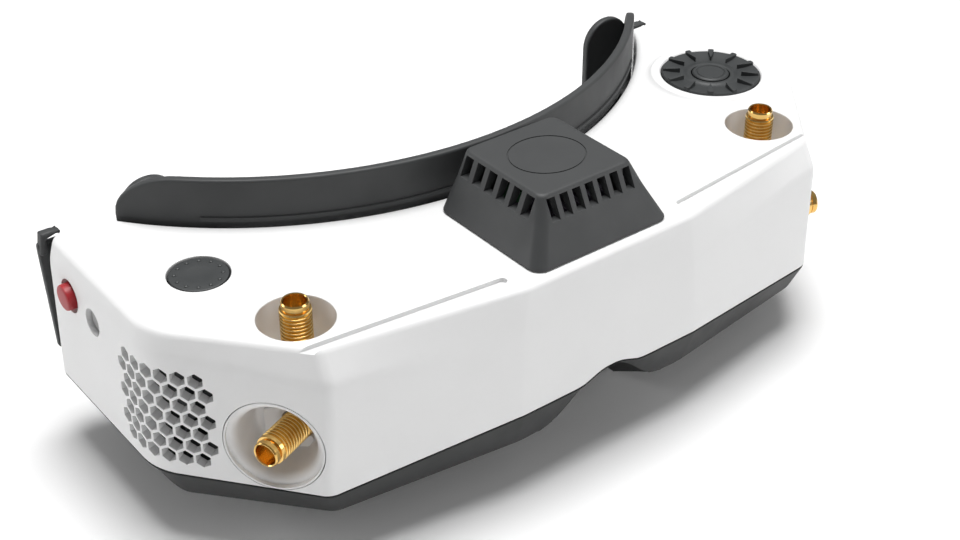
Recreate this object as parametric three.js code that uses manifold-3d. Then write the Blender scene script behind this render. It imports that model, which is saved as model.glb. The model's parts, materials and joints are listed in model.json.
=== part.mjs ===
// Box-style FPV goggles as separate pieces: two-part housing, faceplate, vented top cover,
// antenna connectors, controls, sliding optics, defog fans and electronics.
// Units are millimetres. +Z is up, -Y is the front, the wearer is at +Y, and Z = 0 is what it stands on.
import * as THREE from 'three';
import { mergeVertices } from 'three/addons/utils/BufferGeometryUtils.js';
import Module from 'manifold-3d';

const wasm = await Module();
wasm.setup();

// ---------------------------------------------------------------- driving dimensions
const TOP_Z = 49.2; // flat top of the upper shell
const WALL = 2; // housing wall
const GAP = 0.3; // clearance between neighbouring pieces

const REAR_RADIUS = 91.4; // concave rear edge that wraps the face
const REAR_CENTRE_Y = 89.75;
const REAR_END_X = 74.8; // where the concave edge meets the flat rear ends
const REAR_END_Y = 37.2;
const REAR_STEPS = 12;
const SIDE_STEPS = 4;
const ROUND = 24; // sides of a round piece or hole
const SIDE_FILLET = 14.6; // rounded corner between end wall and cheek
const FRONT_FILLET = 4; // rounded corner between cheek and front

const CHEEK_NORMAL = new THREE.Vector3(0.774, -0.634, 0).normalize();
const CHEEK_SHARP = [88.6, -5.7]; // end wall and cheek lines meet here at mid height

const BELLY_Z = 1.2; // underside of the lower cover, above the feet
const LOWER_WALL = 2;

const POCKET = { x: 62.5, y: -18.7, radius: 7.6, wall: 1.6, floorZ: 39.2 };
const JACK = { radius: 3.175, bore: 2.4, rimRadius: 2.85, topZ: 53.1 };
const CUP = { x: 72.7, y: -24.7, z: 27.1, radius: 10.2, depth: 9.6, floor: 8 };
const SIDE_JACK = { tip: [75.9, -26.3, 27.2], angle: 22.5, length: 15.2 };

const NAV = { x: -69.5, y: 5.7, radius: 6.1, travel: 0.8 };
const DIAL = { x: 70.9, y: 5.4, radius: 11.7, buttonRadius: 4.4, bossRadius: 15.2 };
const POWER = { y: 26.7, z: 40.4, radius: 2.8, hole: 3.7 };
const RECORD = { y: 16.6, z: 39.5, radius: 2.7, hole: 3 };

const HEX = { pitch: 3.6, radius: 1.74, rows: 7, rowPitch: 3.13, topZ: 39.9, startA: -4.8, startB: -6.6 };

const EYE_X = 33; // half of the distance between the eyepieces
const EYE_Z = 27;
const IPD_TRAVEL = 3;
const RAIL = { y: -7.6, z: 45.3, radius: 1.2, halfLength: 51.5 };

const COVER = { topZ: 62.2, creaseZ: 56.9, baseZ: TOP_Z + 0.25, wall: 1.8 };

// ---------------------------------------------------------------- materials
const finish = (color, roughness, metalness = 0) => (
  new THREE.MeshStandardMaterial({ color, roughness, metalness })
);
const WHITE = finish(0xe9e9e7, 0.55);
const BLACK = finish(0x373939, 0.6);
const GREY = finish(0x47494a, 0.55);
const GOLD = finish(0xc08f3d, 0.25, 1);
const RED = finish(0x9e3038, 0.4);
const GLASS = finish(0x8fa3b0, 0.05);
const BOARD = finish(0x16602c, 0.6);
const METAL = finish(0x9a94a8, 0.4, 0.8);
const STEEL = finish(0x8c8f92, 0.3, 1);
const RUBBER = finish(0x1d1e1f, 0.85);

// ---------------------------------------------------------------- solid helpers
function solidFromArrays(positions, triangles) {
  const mesh = new wasm.Mesh({
    numProp: 3,
    vertProperties: new Float32Array(positions),
    triVerts: new Uint32Array(triangles),
  });
  mesh.merge();
  return new wasm.Manifold(mesh);
}

function solid(geometry, matrix) {
  const plain = geometry.clone();
  plain.deleteAttribute('normal');
  plain.deleteAttribute('uv');
  if (matrix) plain.applyMatrix4(matrix);
  const merged = mergeVertices(plain, 1e-4);
  return solidFromArrays(merged.attributes.position.array, merged.index.array);
}

function geometryOf(body) {
  const mesh = body.getMesh();
  const geometry = new THREE.BufferGeometry();
  const stride = mesh.numProp;
  const positions = new Float32Array((mesh.vertProperties.length / stride) * 3);
  for (let i = 0; i < positions.length / 3; i += 1) {
    positions.set(mesh.vertProperties.slice(i * stride, i * stride + 3), i * 3);
  }
  geometry.setAttribute('position', new THREE.BufferAttribute(positions, 3));
  geometry.setIndex(new THREE.BufferAttribute(new Uint32Array(mesh.triVerts), 1));
  return geometry;
}

const union = (...bodies) => bodies.reduce((sum, body) => sum.add(body));
const cutAll = (base, cutters) => cutters.reduce((rest, cutter) => rest.subtract(cutter), base);

const at = (x, y, z) => new THREE.Matrix4().makeTranslation(x, y, z);

function box(x0, x1, y0, y1, z0, z1) {
  const geometry = new THREE.BoxGeometry(x1 - x0, y1 - y0, z1 - z0);
  return solid(geometry, at((x0 + x1) / 2, (y0 + y1) / 2, (z0 + z1) / 2));
}

// Rotation that carries local +Y onto a direction, with local Z kept upright where it can be.
function alongDirection(direction, origin) {
  const yAxis = direction.clone().normalize();
  const up = Math.abs(yAxis.z) > 0.9 ? new THREE.Vector3(0, 1, 0) : new THREE.Vector3(0, 0, 1);
  const xAxis = new THREE.Vector3().crossVectors(yAxis, up).normalize();
  const zAxis = new THREE.Vector3().crossVectors(xAxis, yAxis).normalize();
  return new THREE.Matrix4().makeBasis(xAxis, yAxis, zAxis).setPosition(origin);
}

// Cylinder from start to start + direction * length.
function rod(start, direction, length, radius, sides = 24, endRadius = radius) {
  const unit = direction.clone().normalize();
  const middle = start.clone().addScaledVector(unit, length / 2);
  const geometry = new THREE.CylinderGeometry(endRadius, radius, length, sides);
  return solid(geometry, alongDirection(unit, middle));
}

// Body of revolution about local +Y, from [radius, height] pairs that start and end on the axis.
function turned(profile, sides, matrix) {
  const points = profile.map(([radius, height]) => new THREE.Vector2(radius, height));
  return solid(new THREE.LatheGeometry(points, sides), matrix);
}

// Ring of revolution about local +Y from a profile that closes on itself.
function turnedRing(profile, sides, matrix) {
  return turned([...profile, profile[0]], sides, matrix);
}

const UP = new THREE.Vector3(0, 0, 1);
const TO_RIGHT = new THREE.Vector3(1, 0, 0);
const upright = (x, y, z) => alongDirection(UP, new THREE.Vector3(x, y, z));

const mirrorX = (body) => body.mirror([1, 0, 0]);

// Plan outline extruded along +Z.
function prism(shape, z0, z1, curveSegments = 8) {
  const geometry = new THREE.ExtrudeGeometry(shape, { depth: z1 - z0, bevelEnabled: false, curveSegments });
  return solid(geometry, at(0, 0, z0));
}

// Front-view outline (x, z) extruded along Y from y0 to y1.
function frontPrism(shape, y0, y1, curveSegments = 8) {
  const geometry = new THREE.ExtrudeGeometry(shape, { depth: y1 - y0, bevelEnabled: false, curveSegments });
  const matrix = new THREE.Matrix4().makeRotationX(Math.PI / 2).setPosition(0, y1, 0);
  return solid(geometry, matrix);
}

function polygon(points) {
  return new THREE.Shape(points.map(([x, y]) => new THREE.Vector2(x, y)));
}

function roundedRect(x0, x1, y0, y1, radius) {
  const shape = new THREE.Shape();
  shape.moveTo(x0 + radius, y0);
  shape.lineTo(x1 - radius, y0);
  shape.absarc(x1 - radius, y0 + radius, radius, -Math.PI / 2, 0, false);
  shape.lineTo(x1, y1 - radius);
  shape.absarc(x1 - radius, y1 - radius, radius, 0, Math.PI / 2, false);
  shape.lineTo(x0 + radius, y1);
  shape.absarc(x0 + radius, y1 - radius, radius, Math.PI / 2, Math.PI, false);
  shape.lineTo(x0, y0 + radius);
  shape.absarc(x0 + radius, y0 + radius, radius, Math.PI, Math.PI * 1.5, false);
  return shape;
}

// Curved wall around the wearer's face, between two radii and two heights.
function faceSector(inner, outer, halfX, z0, z1, steps = 32) {
  const end = Math.asin(halfX / outer);
  const shape = new THREE.Shape();
  const point = (radius, angle) => [radius * Math.sin(angle), REAR_CENTRE_Y - radius * Math.cos(angle)];
  const angles = Array.from({ length: steps + 1 }, (_, i) => -end + (2 * end * i) / steps);
  const front = angles.map((angle) => point(outer, angle));
  const back = angles.map((angle) => point(inner, angle)).reverse();
  [...front, ...back].forEach(([x, y], i) => (i ? shape.lineTo(x, y) : shape.moveTo(x, y)));
  return prism(shape, z0, z1);
}

// ---------------------------------------------------------------- housing outline
function filletPoints(before, corner, after, radius, steps) {
  const c = new THREE.Vector2(corner[0], corner[1]);
  const toBefore = new THREE.Vector2(before[0], before[1]).sub(c).normalize();
  const toAfter = new THREE.Vector2(after[0], after[1]).sub(c).normalize();
  const half = Math.acos(toBefore.dot(toAfter)) / 2;
  const bisector = toBefore.clone().add(toAfter).normalize();
  const centre = c.clone().addScaledVector(bisector, radius / Math.sin(half));
  const start = c.clone().addScaledVector(toBefore, radius / Math.tan(half));
  const end = c.clone().addScaledVector(toAfter, radius / Math.tan(half));
  const a0 = Math.atan2(start.y - centre.y, start.x - centre.x);
  const a1 = Math.atan2(end.y - centre.y, end.x - centre.x);
  const points = [];
  for (let i = 0; i <= steps; i += 1) {
    const angle = a0 + ((a1 - a0) * i) / steps;
    points.push([centre.x + radius * Math.cos(angle), centre.y + radius * Math.sin(angle)]);
  }
  return points;
}

// One closed ring of the housing, counter-clockwise from above. A level names the plan corners of the
// right half: rear (arc end), end (rear outer corner), side (end wall meets cheek), corner, junction.
function housingRing(level) {
  const half = [];
  const reach = Math.asin(level.rear[0] / level.rearRadius);
  for (let i = 0; i < REAR_STEPS; i += 1) {
    const angle = (reach * i) / REAR_STEPS;
    const x = level.rearRadius * Math.sin(angle);
    half.push([x, REAR_CENTRE_Y - level.rearRadius * Math.cos(angle), level.rearZ(x)]);
  }
  half.push([level.rear[0], level.rear[1], level.rearZ(level.rear[0])]);
  half.push([level.end[0], level.end[1], level.end[2]]);
  const fillet = level.sideFillet ?? SIDE_FILLET;
  const side = filletPoints(level.end, level.side, level.corner, fillet, SIDE_STEPS);
  side.forEach(([x, y], i) => half.push([x, y, level.sideZ(i / SIDE_STEPS)]));
  filletPoints(level.side, level.corner, level.junction, FRONT_FILLET, 3).forEach(([x, y]) => {
    half.push([x, y, level.corner[2]]);
  });
  half.push([...level.junction]);
  NOSE_X.forEach((x) => half.push([x, level.junction[1], level.noseZ(x)]));
  half.push([0, level.junction[1], level.noseZ(0)]);
  const left = half.slice(1, -1).reverse().map(([x, y, z]) => [-x, y, z]);
  return [...half, ...left].reverse();
}

const NOSE_X = [16.5, 12.9, 10.2, 7.8, 5.6, 2.9];

// Height of the nose arch in the visible black strip and in the white seam above it.
const NOSE_STRIP = [[16.5, 11], [12.9, 12.2], [10.2, 13.9], [7.8, 16], [5.6, 18], [2.9, 19.4], [0, 19.9]];
const NOSE_SEAM = [
  [16.5, 19.95], [12.9, 19.95], [10.2, 19.95], [7.8, 20], [5.6, 20.9], [2.9, 21.8], [0, 22.1],
];
const lookUp = (table, x) => table.find(([key]) => Math.abs(key - x) < 0.01)[1];

const constant = (value) => () => value;

const TOP_LEVEL = {
  rearRadius: REAR_RADIUS,
  rear: [REAR_END_X, REAR_END_Y],
  rearZ: constant(TOP_Z),
  end: [86.4, REAR_END_Y, TOP_Z],
  side: [87.4, -4.6],
  sideZ: constant(TOP_Z),
  corner: [65.1, -30.2, TOP_Z],
  junction: [21.7, -38.5, TOP_Z],
  noseZ: constant(TOP_Z),
};

const CHAMFER_LEVEL = {
  ...TOP_LEVEL,
  rearZ: constant(44.7),
  end: [87.9, REAR_END_Y, 44.7],
  side: [88.3, -5.7],
  sideZ: constant(44.6),
  corner: [65.6, -33.9, 42.9],
  junction: [23.2, -39.1, 38.85],
  noseZ: constant(38.85),
};

const SEAM_LEVEL = {
  ...TOP_LEVEL,
  rearZ: constant(16.7),
  end: [88.9, REAR_END_Y, 16.7],
  side: [89.2, -5.6],
  sideZ: constant(16.7),
  corner: [66.6, -33.6, 16.7],
  junction: [24.15, -40.2, 19.95],
  noseZ: (x) => lookUp(NOSE_SEAM, x),
};

const inset = (ring, distance, lift = 0) => {
  const count = ring.length;
  return ring.map((point, i) => {
    const before = ring[(i + count - 1) % count];
    const after = ring[(i + 1) % count];
    const e0 = new THREE.Vector2(point[0] - before[0], point[1] - before[1]).normalize();
    const e1 = new THREE.Vector2(after[0] - point[0], after[1] - point[1]).normalize();
    const n0 = new THREE.Vector2(-e0.y, e0.x);
    const n1 = new THREE.Vector2(-e1.y, e1.x);
    const miter = n0.add(n1).normalize();
    const scale = distance / Math.max(0.5, miter.dot(n1));
    return [point[0] + miter.x * scale, point[1] + miter.y * scale, point[2] + lift];
  });
};

// Closed surface through a stack of rings, with a flat-ish cap on each end.
function loftSolid(rings, flat = (p) => [p[0], p[1]]) {
  const count = rings[0].length;
  const positions = rings.flat(2);
  const triangles = [];
  for (let level = 0; level < rings.length - 1; level += 1) {
    for (let i = 0; i < count; i += 1) {
      const a = level * count + i;
      const b = level * count + ((i + 1) % count);
      triangles.push(a, b, b + count, a, b + count, a + count);
    }
  }
  const capOf = (ring, offset, flip) => {
    const contour = ring.map((p) => new THREE.Vector2(...flat(p)));
    const turned = flip !== THREE.ShapeUtils.isClockWise(contour);
    THREE.ShapeUtils.triangulateShape(contour, []).forEach(([a, b, c]) => {
      triangles.push(offset + a, offset + (turned ? c : b), offset + (turned ? b : c));
    });
  };
  capOf(rings[0], 0, true);
  capOf(rings[rings.length - 1], (rings.length - 1) * count, false);
  return solidFromArrays(positions, orient(positions, triangles));
}

// Thin-walled tub: outer rings from the rim to the closed end, and matching inner rings.
function tubSolid(outer, inner) {
  const path = [...outer].reverse().concat(inner);
  return loftSolid(path);
}

function orient(positions, triangles) {
  const at3 = (i) => new THREE.Vector3(positions[i * 3], positions[i * 3 + 1], positions[i * 3 + 2]);
  let volume = 0;
  for (let i = 0; i < triangles.length; i += 3) {
    const [a, b, c] = [at3(triangles[i]), at3(triangles[i + 1]), at3(triangles[i + 2])];
    volume += a.dot(b.cross(c));
  }
  if (volume > 0) return triangles;
  const flipped = [];
  for (let i = 0; i < triangles.length; i += 3) {
    flipped.push(triangles[i], triangles[i + 2], triangles[i + 1]);
  }
  return flipped;
}

// ---------------------------------------------------------------- upper shell
const upperOuterRings = [SEAM_LEVEL, CHAMFER_LEVEL, TOP_LEVEL].map(housingRing);

function upperInnerRings() {
  const [seam, chamfer, top] = upperOuterRings;
  return [inset(seam, WALL), inset(chamfer, WALL, -0.6), inset(top, WALL + 0.6, -WALL)];
}

// Direction and surface point at a distance along the wall, measured rearwards from where the
// cheek plane ends and the rounded corner starts.
function wallPoint(distance) {
  const tangent = SIDE_FILLET * Math.tan(CORNER_TURN / 2);
  const cheekStart = new THREE.Vector2(...CHEEK_SHARP).addScaledVector(CHEEK_FORWARD, tangent);
  const arcLength = SIDE_FILLET * CORNER_TURN;
  if (distance <= 0) {
    return { point: cheekStart.addScaledVector(CHEEK_FORWARD, -distance), normal: CHEEK_NORMAL.clone() };
  }
  if (distance >= arcLength) {
    const y = CHEEK_SHARP[1] + tangent + distance - arcLength;
    return { point: new THREE.Vector2(CHEEK_SHARP[0], y), normal: new THREE.Vector3(1, 0, 0) };
  }
  const turn = distance / SIDE_FILLET - CORNER_TURN;
  const normal = new THREE.Vector3(Math.cos(turn), Math.sin(turn), 0);
  const centre = new THREE.Vector2(CHEEK_SHARP[0] - SIDE_FILLET, CHEEK_SHARP[1] + tangent);
  return { point: centre.add(new THREE.Vector2(normal.x, normal.y).multiplyScalar(SIDE_FILLET)), normal };
}

const CORNER_TURN = Math.acos(CHEEK_NORMAL.x);
const CHEEK_FORWARD = new THREE.Vector2(CHEEK_NORMAL.y, -CHEEK_NORMAL.x);

function honeycombCutters() {
  const cutters = [];
  for (let row = 0; row < HEX.rows; row += 1) {
    const offset = row % 2;
    const columns = 6 + offset;
    for (let column = 0; column < columns; column += 1) {
      const distance = (offset ? HEX.startB : HEX.startA) + column * HEX.pitch;
      const { point, normal } = wallPoint(distance);
      const z = HEX.topZ - row * HEX.rowPitch;
      const start = new THREE.Vector3(point.x, point.y, z).addScaledVector(normal, -3);
      cutters.push(rod(start, normal, 5, HEX.radius, 6));
    }
  }
  return cutters;
}

const both = (body) => [body, mirrorX(body)];

function cheekRod(radius, from, to, sides, endRadius) {
  const start = new THREE.Vector3(CUP.x, CUP.y, CUP.z).addScaledVector(CHEEK_NORMAL, from);
  return rod(start, CHEEK_NORMAL, to - from, radius, sides, endRadius);
}

function grooveCutter() {
  const [x0, y0, x1, y1] = [24.7, -33.35, 66.5, -27.7];
  const length = Math.hypot(x1 - x0, y1 - y0);
  const matrix = new THREE.Matrix4().makeRotationZ(Math.atan2(y1 - y0, x1 - x0));
  matrix.setPosition((x0 + x1) / 2, (y0 + y1) / 2, TOP_Z);
  return solid(new THREE.BoxGeometry(length, 1.7, 2), matrix);
}

function makeUpperShell() {
  const tub = tubSolid(upperOuterRings, upperInnerRings());
  const pocketTube = rod(
    new THREE.Vector3(POCKET.x, POCKET.y, POCKET.floorZ - POCKET.wall),
    UP,
    TOP_Z - 1 - POCKET.floorZ + POCKET.wall,
    POCKET.radius + POCKET.wall,
    ROUND,
  );
  const railBoss = box(50, 54, RAIL.y - 3, RAIL.y + 3, RAIL.z - 3, TOP_Z - 1);
  const dialBoss = turned(
    [[0, -1], [DIAL.bossRadius, -1], [DIAL.bossRadius, 0], [DIAL.bossRadius - 1.4, 0.9], [0, 0.9]],
    36,
    upright(DIAL.x, DIAL.y, TOP_Z),
  );
  const body = union(tub, ...both(pocketTube), ...both(railBoss), dialBoss);
  const hexes = honeycombCutters();
  const cutters = [
    faceSector(REAR_RADIUS - 6, REAR_RADIUS + WALL + 0.1, 70, 10, 45.7),
    ...both(rod(new THREE.Vector3(POCKET.x, POCKET.y, POCKET.floorZ), UP, 20, POCKET.radius, ROUND)),
    ...both(rod(new THREE.Vector3(POCKET.x, POCKET.y, POCKET.floorZ - 5), UP, 10, JACK.radius + GAP, 24)),
    rod(new THREE.Vector3(NAV.x, NAV.y, TOP_Z - 4), UP, 8, NAV.radius + GAP, ROUND),
    rod(new THREE.Vector3(DIAL.x, DIAL.y, TOP_Z - 4), UP, 8, DIAL.radius + GAP, 36),
    box(-12.5, 12.5, -31, -8.5, TOP_Z - 4, TOP_Z + 2),
    ...both(grooveCutter()),
    ...both(cheekRod(CUP.radius + GAP, -4, 4, ROUND)),
    ...both(rod(new THREE.Vector3(47, RAIL.y, RAIL.z), TO_RIGHT, 5, RAIL.radius + GAP, 16)),
    ...hexes,
    ...hexes.map(mirrorX),
    rod(new THREE.Vector3(-92, POWER.y, POWER.z), TO_RIGHT, 8, POWER.hole, 20),
    rod(new THREE.Vector3(-92, RECORD.y, RECORD.z), TO_RIGHT, 8, RECORD.hole, 20),
    rod(new THREE.Vector3(84, 28, 30), TO_RIGHT, 8, 4.3, 20),
    box(84, 92, 9.5, 20.5, 27.4, 32.6),
  ];
  return cutAll(body, cutters);
}

// ---------------------------------------------------------------- lower cover
const smooth = (t) => t * t * (3 - 2 * t);

const STRIP_LEVEL = {
  rearRadius: REAR_RADIUS + 1,
  rear: [74.2, 37],
  rearZ: (x) => 8 + 7.6 * smooth(Math.min(1, Math.max(0, (x - 50) / 24))),
  end: [87.6, 36.6, 15.6],
  side: [87.6, -4.9],
  sideZ: (t) => 15.6 - 5.2 * smooth(t),
  corner: [64.4, -31.4, 10.2],
  junction: [23.3, -37.5, 11],
  noseZ: (x) => lookUp(NOSE_STRIP, x),
};

const BELLY_LEVEL = {
  rearRadius: REAR_RADIUS + 2,
  rear: [58, 16.5],
  rearZ: constant(BELLY_Z),
  end: [64, 18.5, BELLY_Z],
  side: [66, -2],
  sideFillet: 9,
  sideZ: constant(BELLY_Z),
  corner: [50, -17, BELLY_Z],
  junction: [20, -22, BELLY_Z],
  noseZ: constant(BELLY_Z),
};

// Half profile of the tunnel over the nose, as [x, z], at the front and at the rear.
const NOSE_FRONT = [
  [0, 19.9], [2.9, 19.4], [5.6, 18], [7.8, 16], [10.2, 13.9], [12.9, 12.2], [16.5, 10], [18, -6],
];
const NOSE_REAR = [[0, 24], [4, 23.6], [8, 22], [11.5, 19.2], [14, 16], [16, 12.5], [18, 7], [19, -6]];

function noseTunnel(grow) {
  const ringAt = (profile, y) => {
    const right = profile.map(([x, z], i) => [x + (i ? grow * 0.8 : 0), y, z + grow]);
    const left = right.slice(1).reverse().map(([x, , z]) => [-x, y, z]);
    return [...right, ...left];
  };
  return loftSolid([ringAt(NOSE_FRONT, -48), ringAt(NOSE_REAR, 14)], (p) => [p[0], p[2]]);
}

function makeLowerCover() {
  const seam = housingRing(SEAM_LEVEL).map(([x, y, z]) => [x, y, z - GAP]);
  const strip = housingRing(STRIP_LEVEL);
  const belly = housingRing(BELLY_LEVEL);
  const outer = [seam, strip, belly];
  const inner = [inset(seam, LOWER_WALL), inset(strip, LOWER_WALL, 1), inset(belly, LOWER_WALL, LOWER_WALL)];
  const tub = tubSolid(outer, inner);
  const tall = inset(seam, WALL + GAP * 2).map(([x, y]) => [x, y, 30]);
  const filled = loftSolid([tall, inset(seam, WALL + GAP * 2), strip, belly]);
  const tunnelWall = noseTunnel(1.8).intersect(filled);
  const slots = [-1, 1].map((side) => {
    const x = side * EYE_X;
    return box(x - 3 - IPD_TRAVEL - GAP * 2, x + 3 + IPD_TRAVEL + GAP * 2, -14, -7, -1, 6);
  });
  const cutters = [
    noseTunnel(0),
    faceSector(REAR_RADIUS - 8, REAR_RADIUS + 6.5, 72, 2, 42).intersect(panelOutline(GAP)),
    ...slots,
    ...SCREWS.map(([x, y]) => rod(new THREE.Vector3(x, y, -1), UP, 6, 1.5, 12)),
    ...SCREWS.map(([x, y]) => rod(new THREE.Vector3(x, y, -1), UP, 3.1, 2.8, 14)),
  ];
  return cutAll(tub.add(tunnelWall), cutters);
}

const SCREWS = [[-54, 4], [54, 4], [-23.2, -12], [23.2, -12]];
const FEET = [[-56, -4], [56, -4], [-46, -13], [46, -13]];

// ---------------------------------------------------------------- rear panel and faceplate
function eyeSlot(radius, half) {
  return [-1, 1].map((side) => {
    const [x0, x1] = [side * EYE_X - radius - half, side * EYE_X + radius + half];
    return frontPrism(roundedRect(x0, x1, EYE_Z - radius, EYE_Z + radius, radius - 0.01), -20, 50, 6);
  });
}

// Front view of the rear panel, grown for the opening it sits in.
function panelOutline(grow) {
  const right = [[54 + grow / 2, 4.3 - grow], [71 + grow, 18.5 - grow / 2], [71 + grow, 45.3]];
  const left = right.map(([x, z]) => [-x, z]).reverse();
  return frontPrism(polygon([...left, ...right]), -20, 50);
}

function makeRearPanel() {
  const inner = REAR_RADIUS + WALL + GAP;
  const panel = faceSector(inner, inner + 1.8, 71, 3, 50, 24);
  const cutters = [...eyeSlot(17.2, IPD_TRAVEL + 0.2), noseTunnel(2.3)];
  return cutAll(panel.intersect(panelOutline(0)), cutters);
}

const FACEPLATE = { inner: 88.6, outer: 90.6, halfX: 72.6, z0: 0, z1: 59.4 };

function makeFaceplate() {
  const { inner, outer, halfX, z0, z1 } = FACEPLATE;
  const band = faceSector(inner, outer, halfX, z0 - 1, z1 + 1, 28);
  const outline = frontPrism(roundedRect(-halfX, halfX, z0, z1, 9.4), -10, 50, 5);
  const windows = [-1, 1].map((side) => {
    const [x0, x1] = side < 0 ? [-62, -11] : [11, 62];
    return frontPrism(roundedRect(x0, x1, 9, 47.5, 12), -20, 60, 5);
  });
  const noseShape = new THREE.Shape();
  noseShape.moveTo(-19, -2);
  noseShape.lineTo(-17, 8);
  noseShape.quadraticCurveTo(-11, 24, 0, 25);
  noseShape.quadraticCurveTo(11, 24, 17, 8);
  noseShape.lineTo(19, -2);
  const temple = frontPrism(roundedRect(57, 72.6, 7, 57, 7.7), 34.9, 36.8, 6);
  const clip = box(61.2, 65.8, 34, 35.7, 41.4, 46.6);
  const body = union(band.intersect(outline), ...both(temple));
  return cutAll(body, [...windows, frontPrism(noseShape, -20, 60, 5), ...both(clip)]);
}

// ---------------------------------------------------------------- top cover
function coverRing(halfX, y0, y1, z, radius) {
  const points = roundedRect(-halfX, halfX, y0, y1, radius).getPoints(3);
  const unique = points.filter((p, i) => i === 0 || p.distanceTo(points[i - 1]) > 1e-4);
  if (unique[0].distanceTo(unique[unique.length - 1]) < 1e-4) unique.pop();
  return unique.map((p) => [p.x, p.y, z]);
}

function coverSolid(shrink, drop) {
  return loftSolid([
    coverRing(18 - shrink, -36.4 + shrink, -3.6 - shrink, COVER.baseZ - drop, 2.6),
    coverRing(14.2 - shrink, -32.6 + shrink, -4.4 - shrink, COVER.creaseZ, 2.2),
    coverRing(12.1 - shrink, -29.9 + shrink, -5 - shrink, COVER.topZ - shrink, 1.8),
  ]);
}

function makeTopCover() {
  const z0 = COVER.creaseZ + 0.4;
  const z1 = COVER.topZ - 1.6;
  const slots = [];
  for (let i = 0; i < 6; i += 1) {
    const x = (i - 2.5) * 3.75;
    slots.push(box(x - 1, x + 1, -40, 0, z0, z1));
    const y = -17.6 + (i - 2.5) * 3.9;
    slots.push(box(-20, 20, y - 1, y + 1, z0, z1));
  }
  return cutAll(coverSolid(0, 0), [coverSolid(COVER.wall, 1), ...slots]);
}

// ---------------------------------------------------------------- connectors
function jackProfile(length) {
  const { radius, bore, rimRadius } = JACK;
  return [
    [0, 0],
    [radius, 0],
    [radius, length - 1.6],
    [rimRadius, length - 1.2],
    [rimRadius, length],
    [bore, length],
    [bore, length - 6],
    [0, length - 6],
  ];
}

function makeTopJack(side) {
  const base = POCKET.floorZ - POCKET.wall;
  return turned(jackProfile(JACK.topZ - base), 20, upright(side * POCKET.x, POCKET.y, base));
}

function sideJackFrame(side) {
  const angle = (SIDE_JACK.angle * Math.PI) / 180;
  const direction = new THREE.Vector3(side * Math.cos(angle), -Math.sin(angle), 0);
  const tip = new THREE.Vector3(side * SIDE_JACK.tip[0], SIDE_JACK.tip[1], SIDE_JACK.tip[2]);
  return { direction, base: tip.addScaledVector(direction, -SIDE_JACK.length) };
}

function makeSideJack(side) {
  const { direction, base } = sideJackFrame(side);
  return turned(jackProfile(SIDE_JACK.length), 20, alongDirection(direction, base));
}

function makeNut(matrix) {
  const hex = solid(new THREE.CylinderGeometry(4.6, 4.6, 2, 6), matrix.clone().multiply(at(0, 1, 0)));
  const hole = solid(new THREE.CylinderGeometry(JACK.radius + GAP, JACK.radius + GAP, 6, 20), matrix);
  return hex.subtract(hole);
}

function makeCup(side) {
  const outside = loftSolid(upperOuterRings);
  const body = cheekRod(CUP.radius, -3, 4, ROUND).add(cheekRod(8.4, -CUP.depth, -2.9, ROUND, CUP.radius));
  const dish = cheekRod(6.6, -CUP.floor, 6, ROUND, 13);
  const cup = body.intersect(outside).subtract(dish.intersect(cheekRod(CUP.radius - 0.9, -20, 6, ROUND)));
  const { direction, base } = sideJackFrame(1);
  const hole = rod(base.clone().addScaledVector(direction, -8), direction, 40, JACK.radius + GAP, 24);
  const drilled = cup.subtract(hole);
  return side > 0 ? drilled : mirrorX(drilled);
}

// ---------------------------------------------------------------- controls
function makeNavButton() {
  const bumps = [];
  for (let i = 0; i < 12; i += 1) {
    const angle = (i * Math.PI) / 6;
    const x = NAV.x + 4.9 * Math.cos(angle);
    const y = NAV.y + 4.9 * Math.sin(angle);
    bumps.push(rod(new THREE.Vector3(x, y, TOP_Z - 1), UP, 1.15, 0.4, 6));
  }
  const disc = turned(
    [[0, -2.4], [NAV.radius, -2.4], [NAV.radius, -0.4], [NAV.radius - 0.4, -0.1], [0, -0.1]],
    ROUND,
    upright(NAV.x, NAV.y, TOP_Z),
  );
  return union(disc, ...bumps);
}

function makeDial() {
  const { radius, buttonRadius } = DIAL;
  const ring = turnedRing(
    [
      [buttonRadius + GAP, -2.6],
      [radius - 0.8, -2.6],
      [radius, -1.4],
      [radius, 1],
      [radius - 0.5, 1.4],
      [buttonRadius + 1.6, 0.9],
      [buttonRadius + GAP, 0.9],
    ],
    36,
    upright(DIAL.x, DIAL.y, TOP_Z),
  );
  const fins = [];
  for (let i = 0; i < 12; i += 1) {
    const matrix = new THREE.Matrix4().makeRotationZ((i * Math.PI) / 6 + Math.PI / 12);
    matrix.setPosition(DIAL.x, DIAL.y, TOP_Z + 1.35);
    matrix.multiply(at(9, 0, 0));
    fins.push(solid(new THREE.BoxGeometry(4.6, 1.5, 1.3), matrix));
  }
  return union(ring, ...fins);
}

function makeDialButton() {
  const r = DIAL.buttonRadius;
  return turned(
    [[0, -2.6], [r, -2.6], [r, 1.1], [r - 0.4, 1.4], [r - 0.9, 1.4], [r - 1.1, 1.2], [0, 1.2]],
    24,
    upright(DIAL.x, DIAL.y, TOP_Z),
  );
}

const OUT_LEFT = new THREE.Vector3(-1, 0, 0);
const WALL_X = 88.1; // end wall at the height of the side buttons
const onLeftWall = ({ y, z }) => alongDirection(OUT_LEFT, new THREE.Vector3(-WALL_X + 4.4, y, z));

function makePowerButton() {
  const r = POWER.radius;
  const flange = [[0, 0], [POWER.hole + 0.5, 0], [POWER.hole + 0.5, 1.2], [r, 1.2]];
  const profile = [...flange, [r, 5.7], [r - 0.4, 6.1], [0, 6.1]];
  return turned(profile, 20, onLeftWall(POWER));
}

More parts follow.
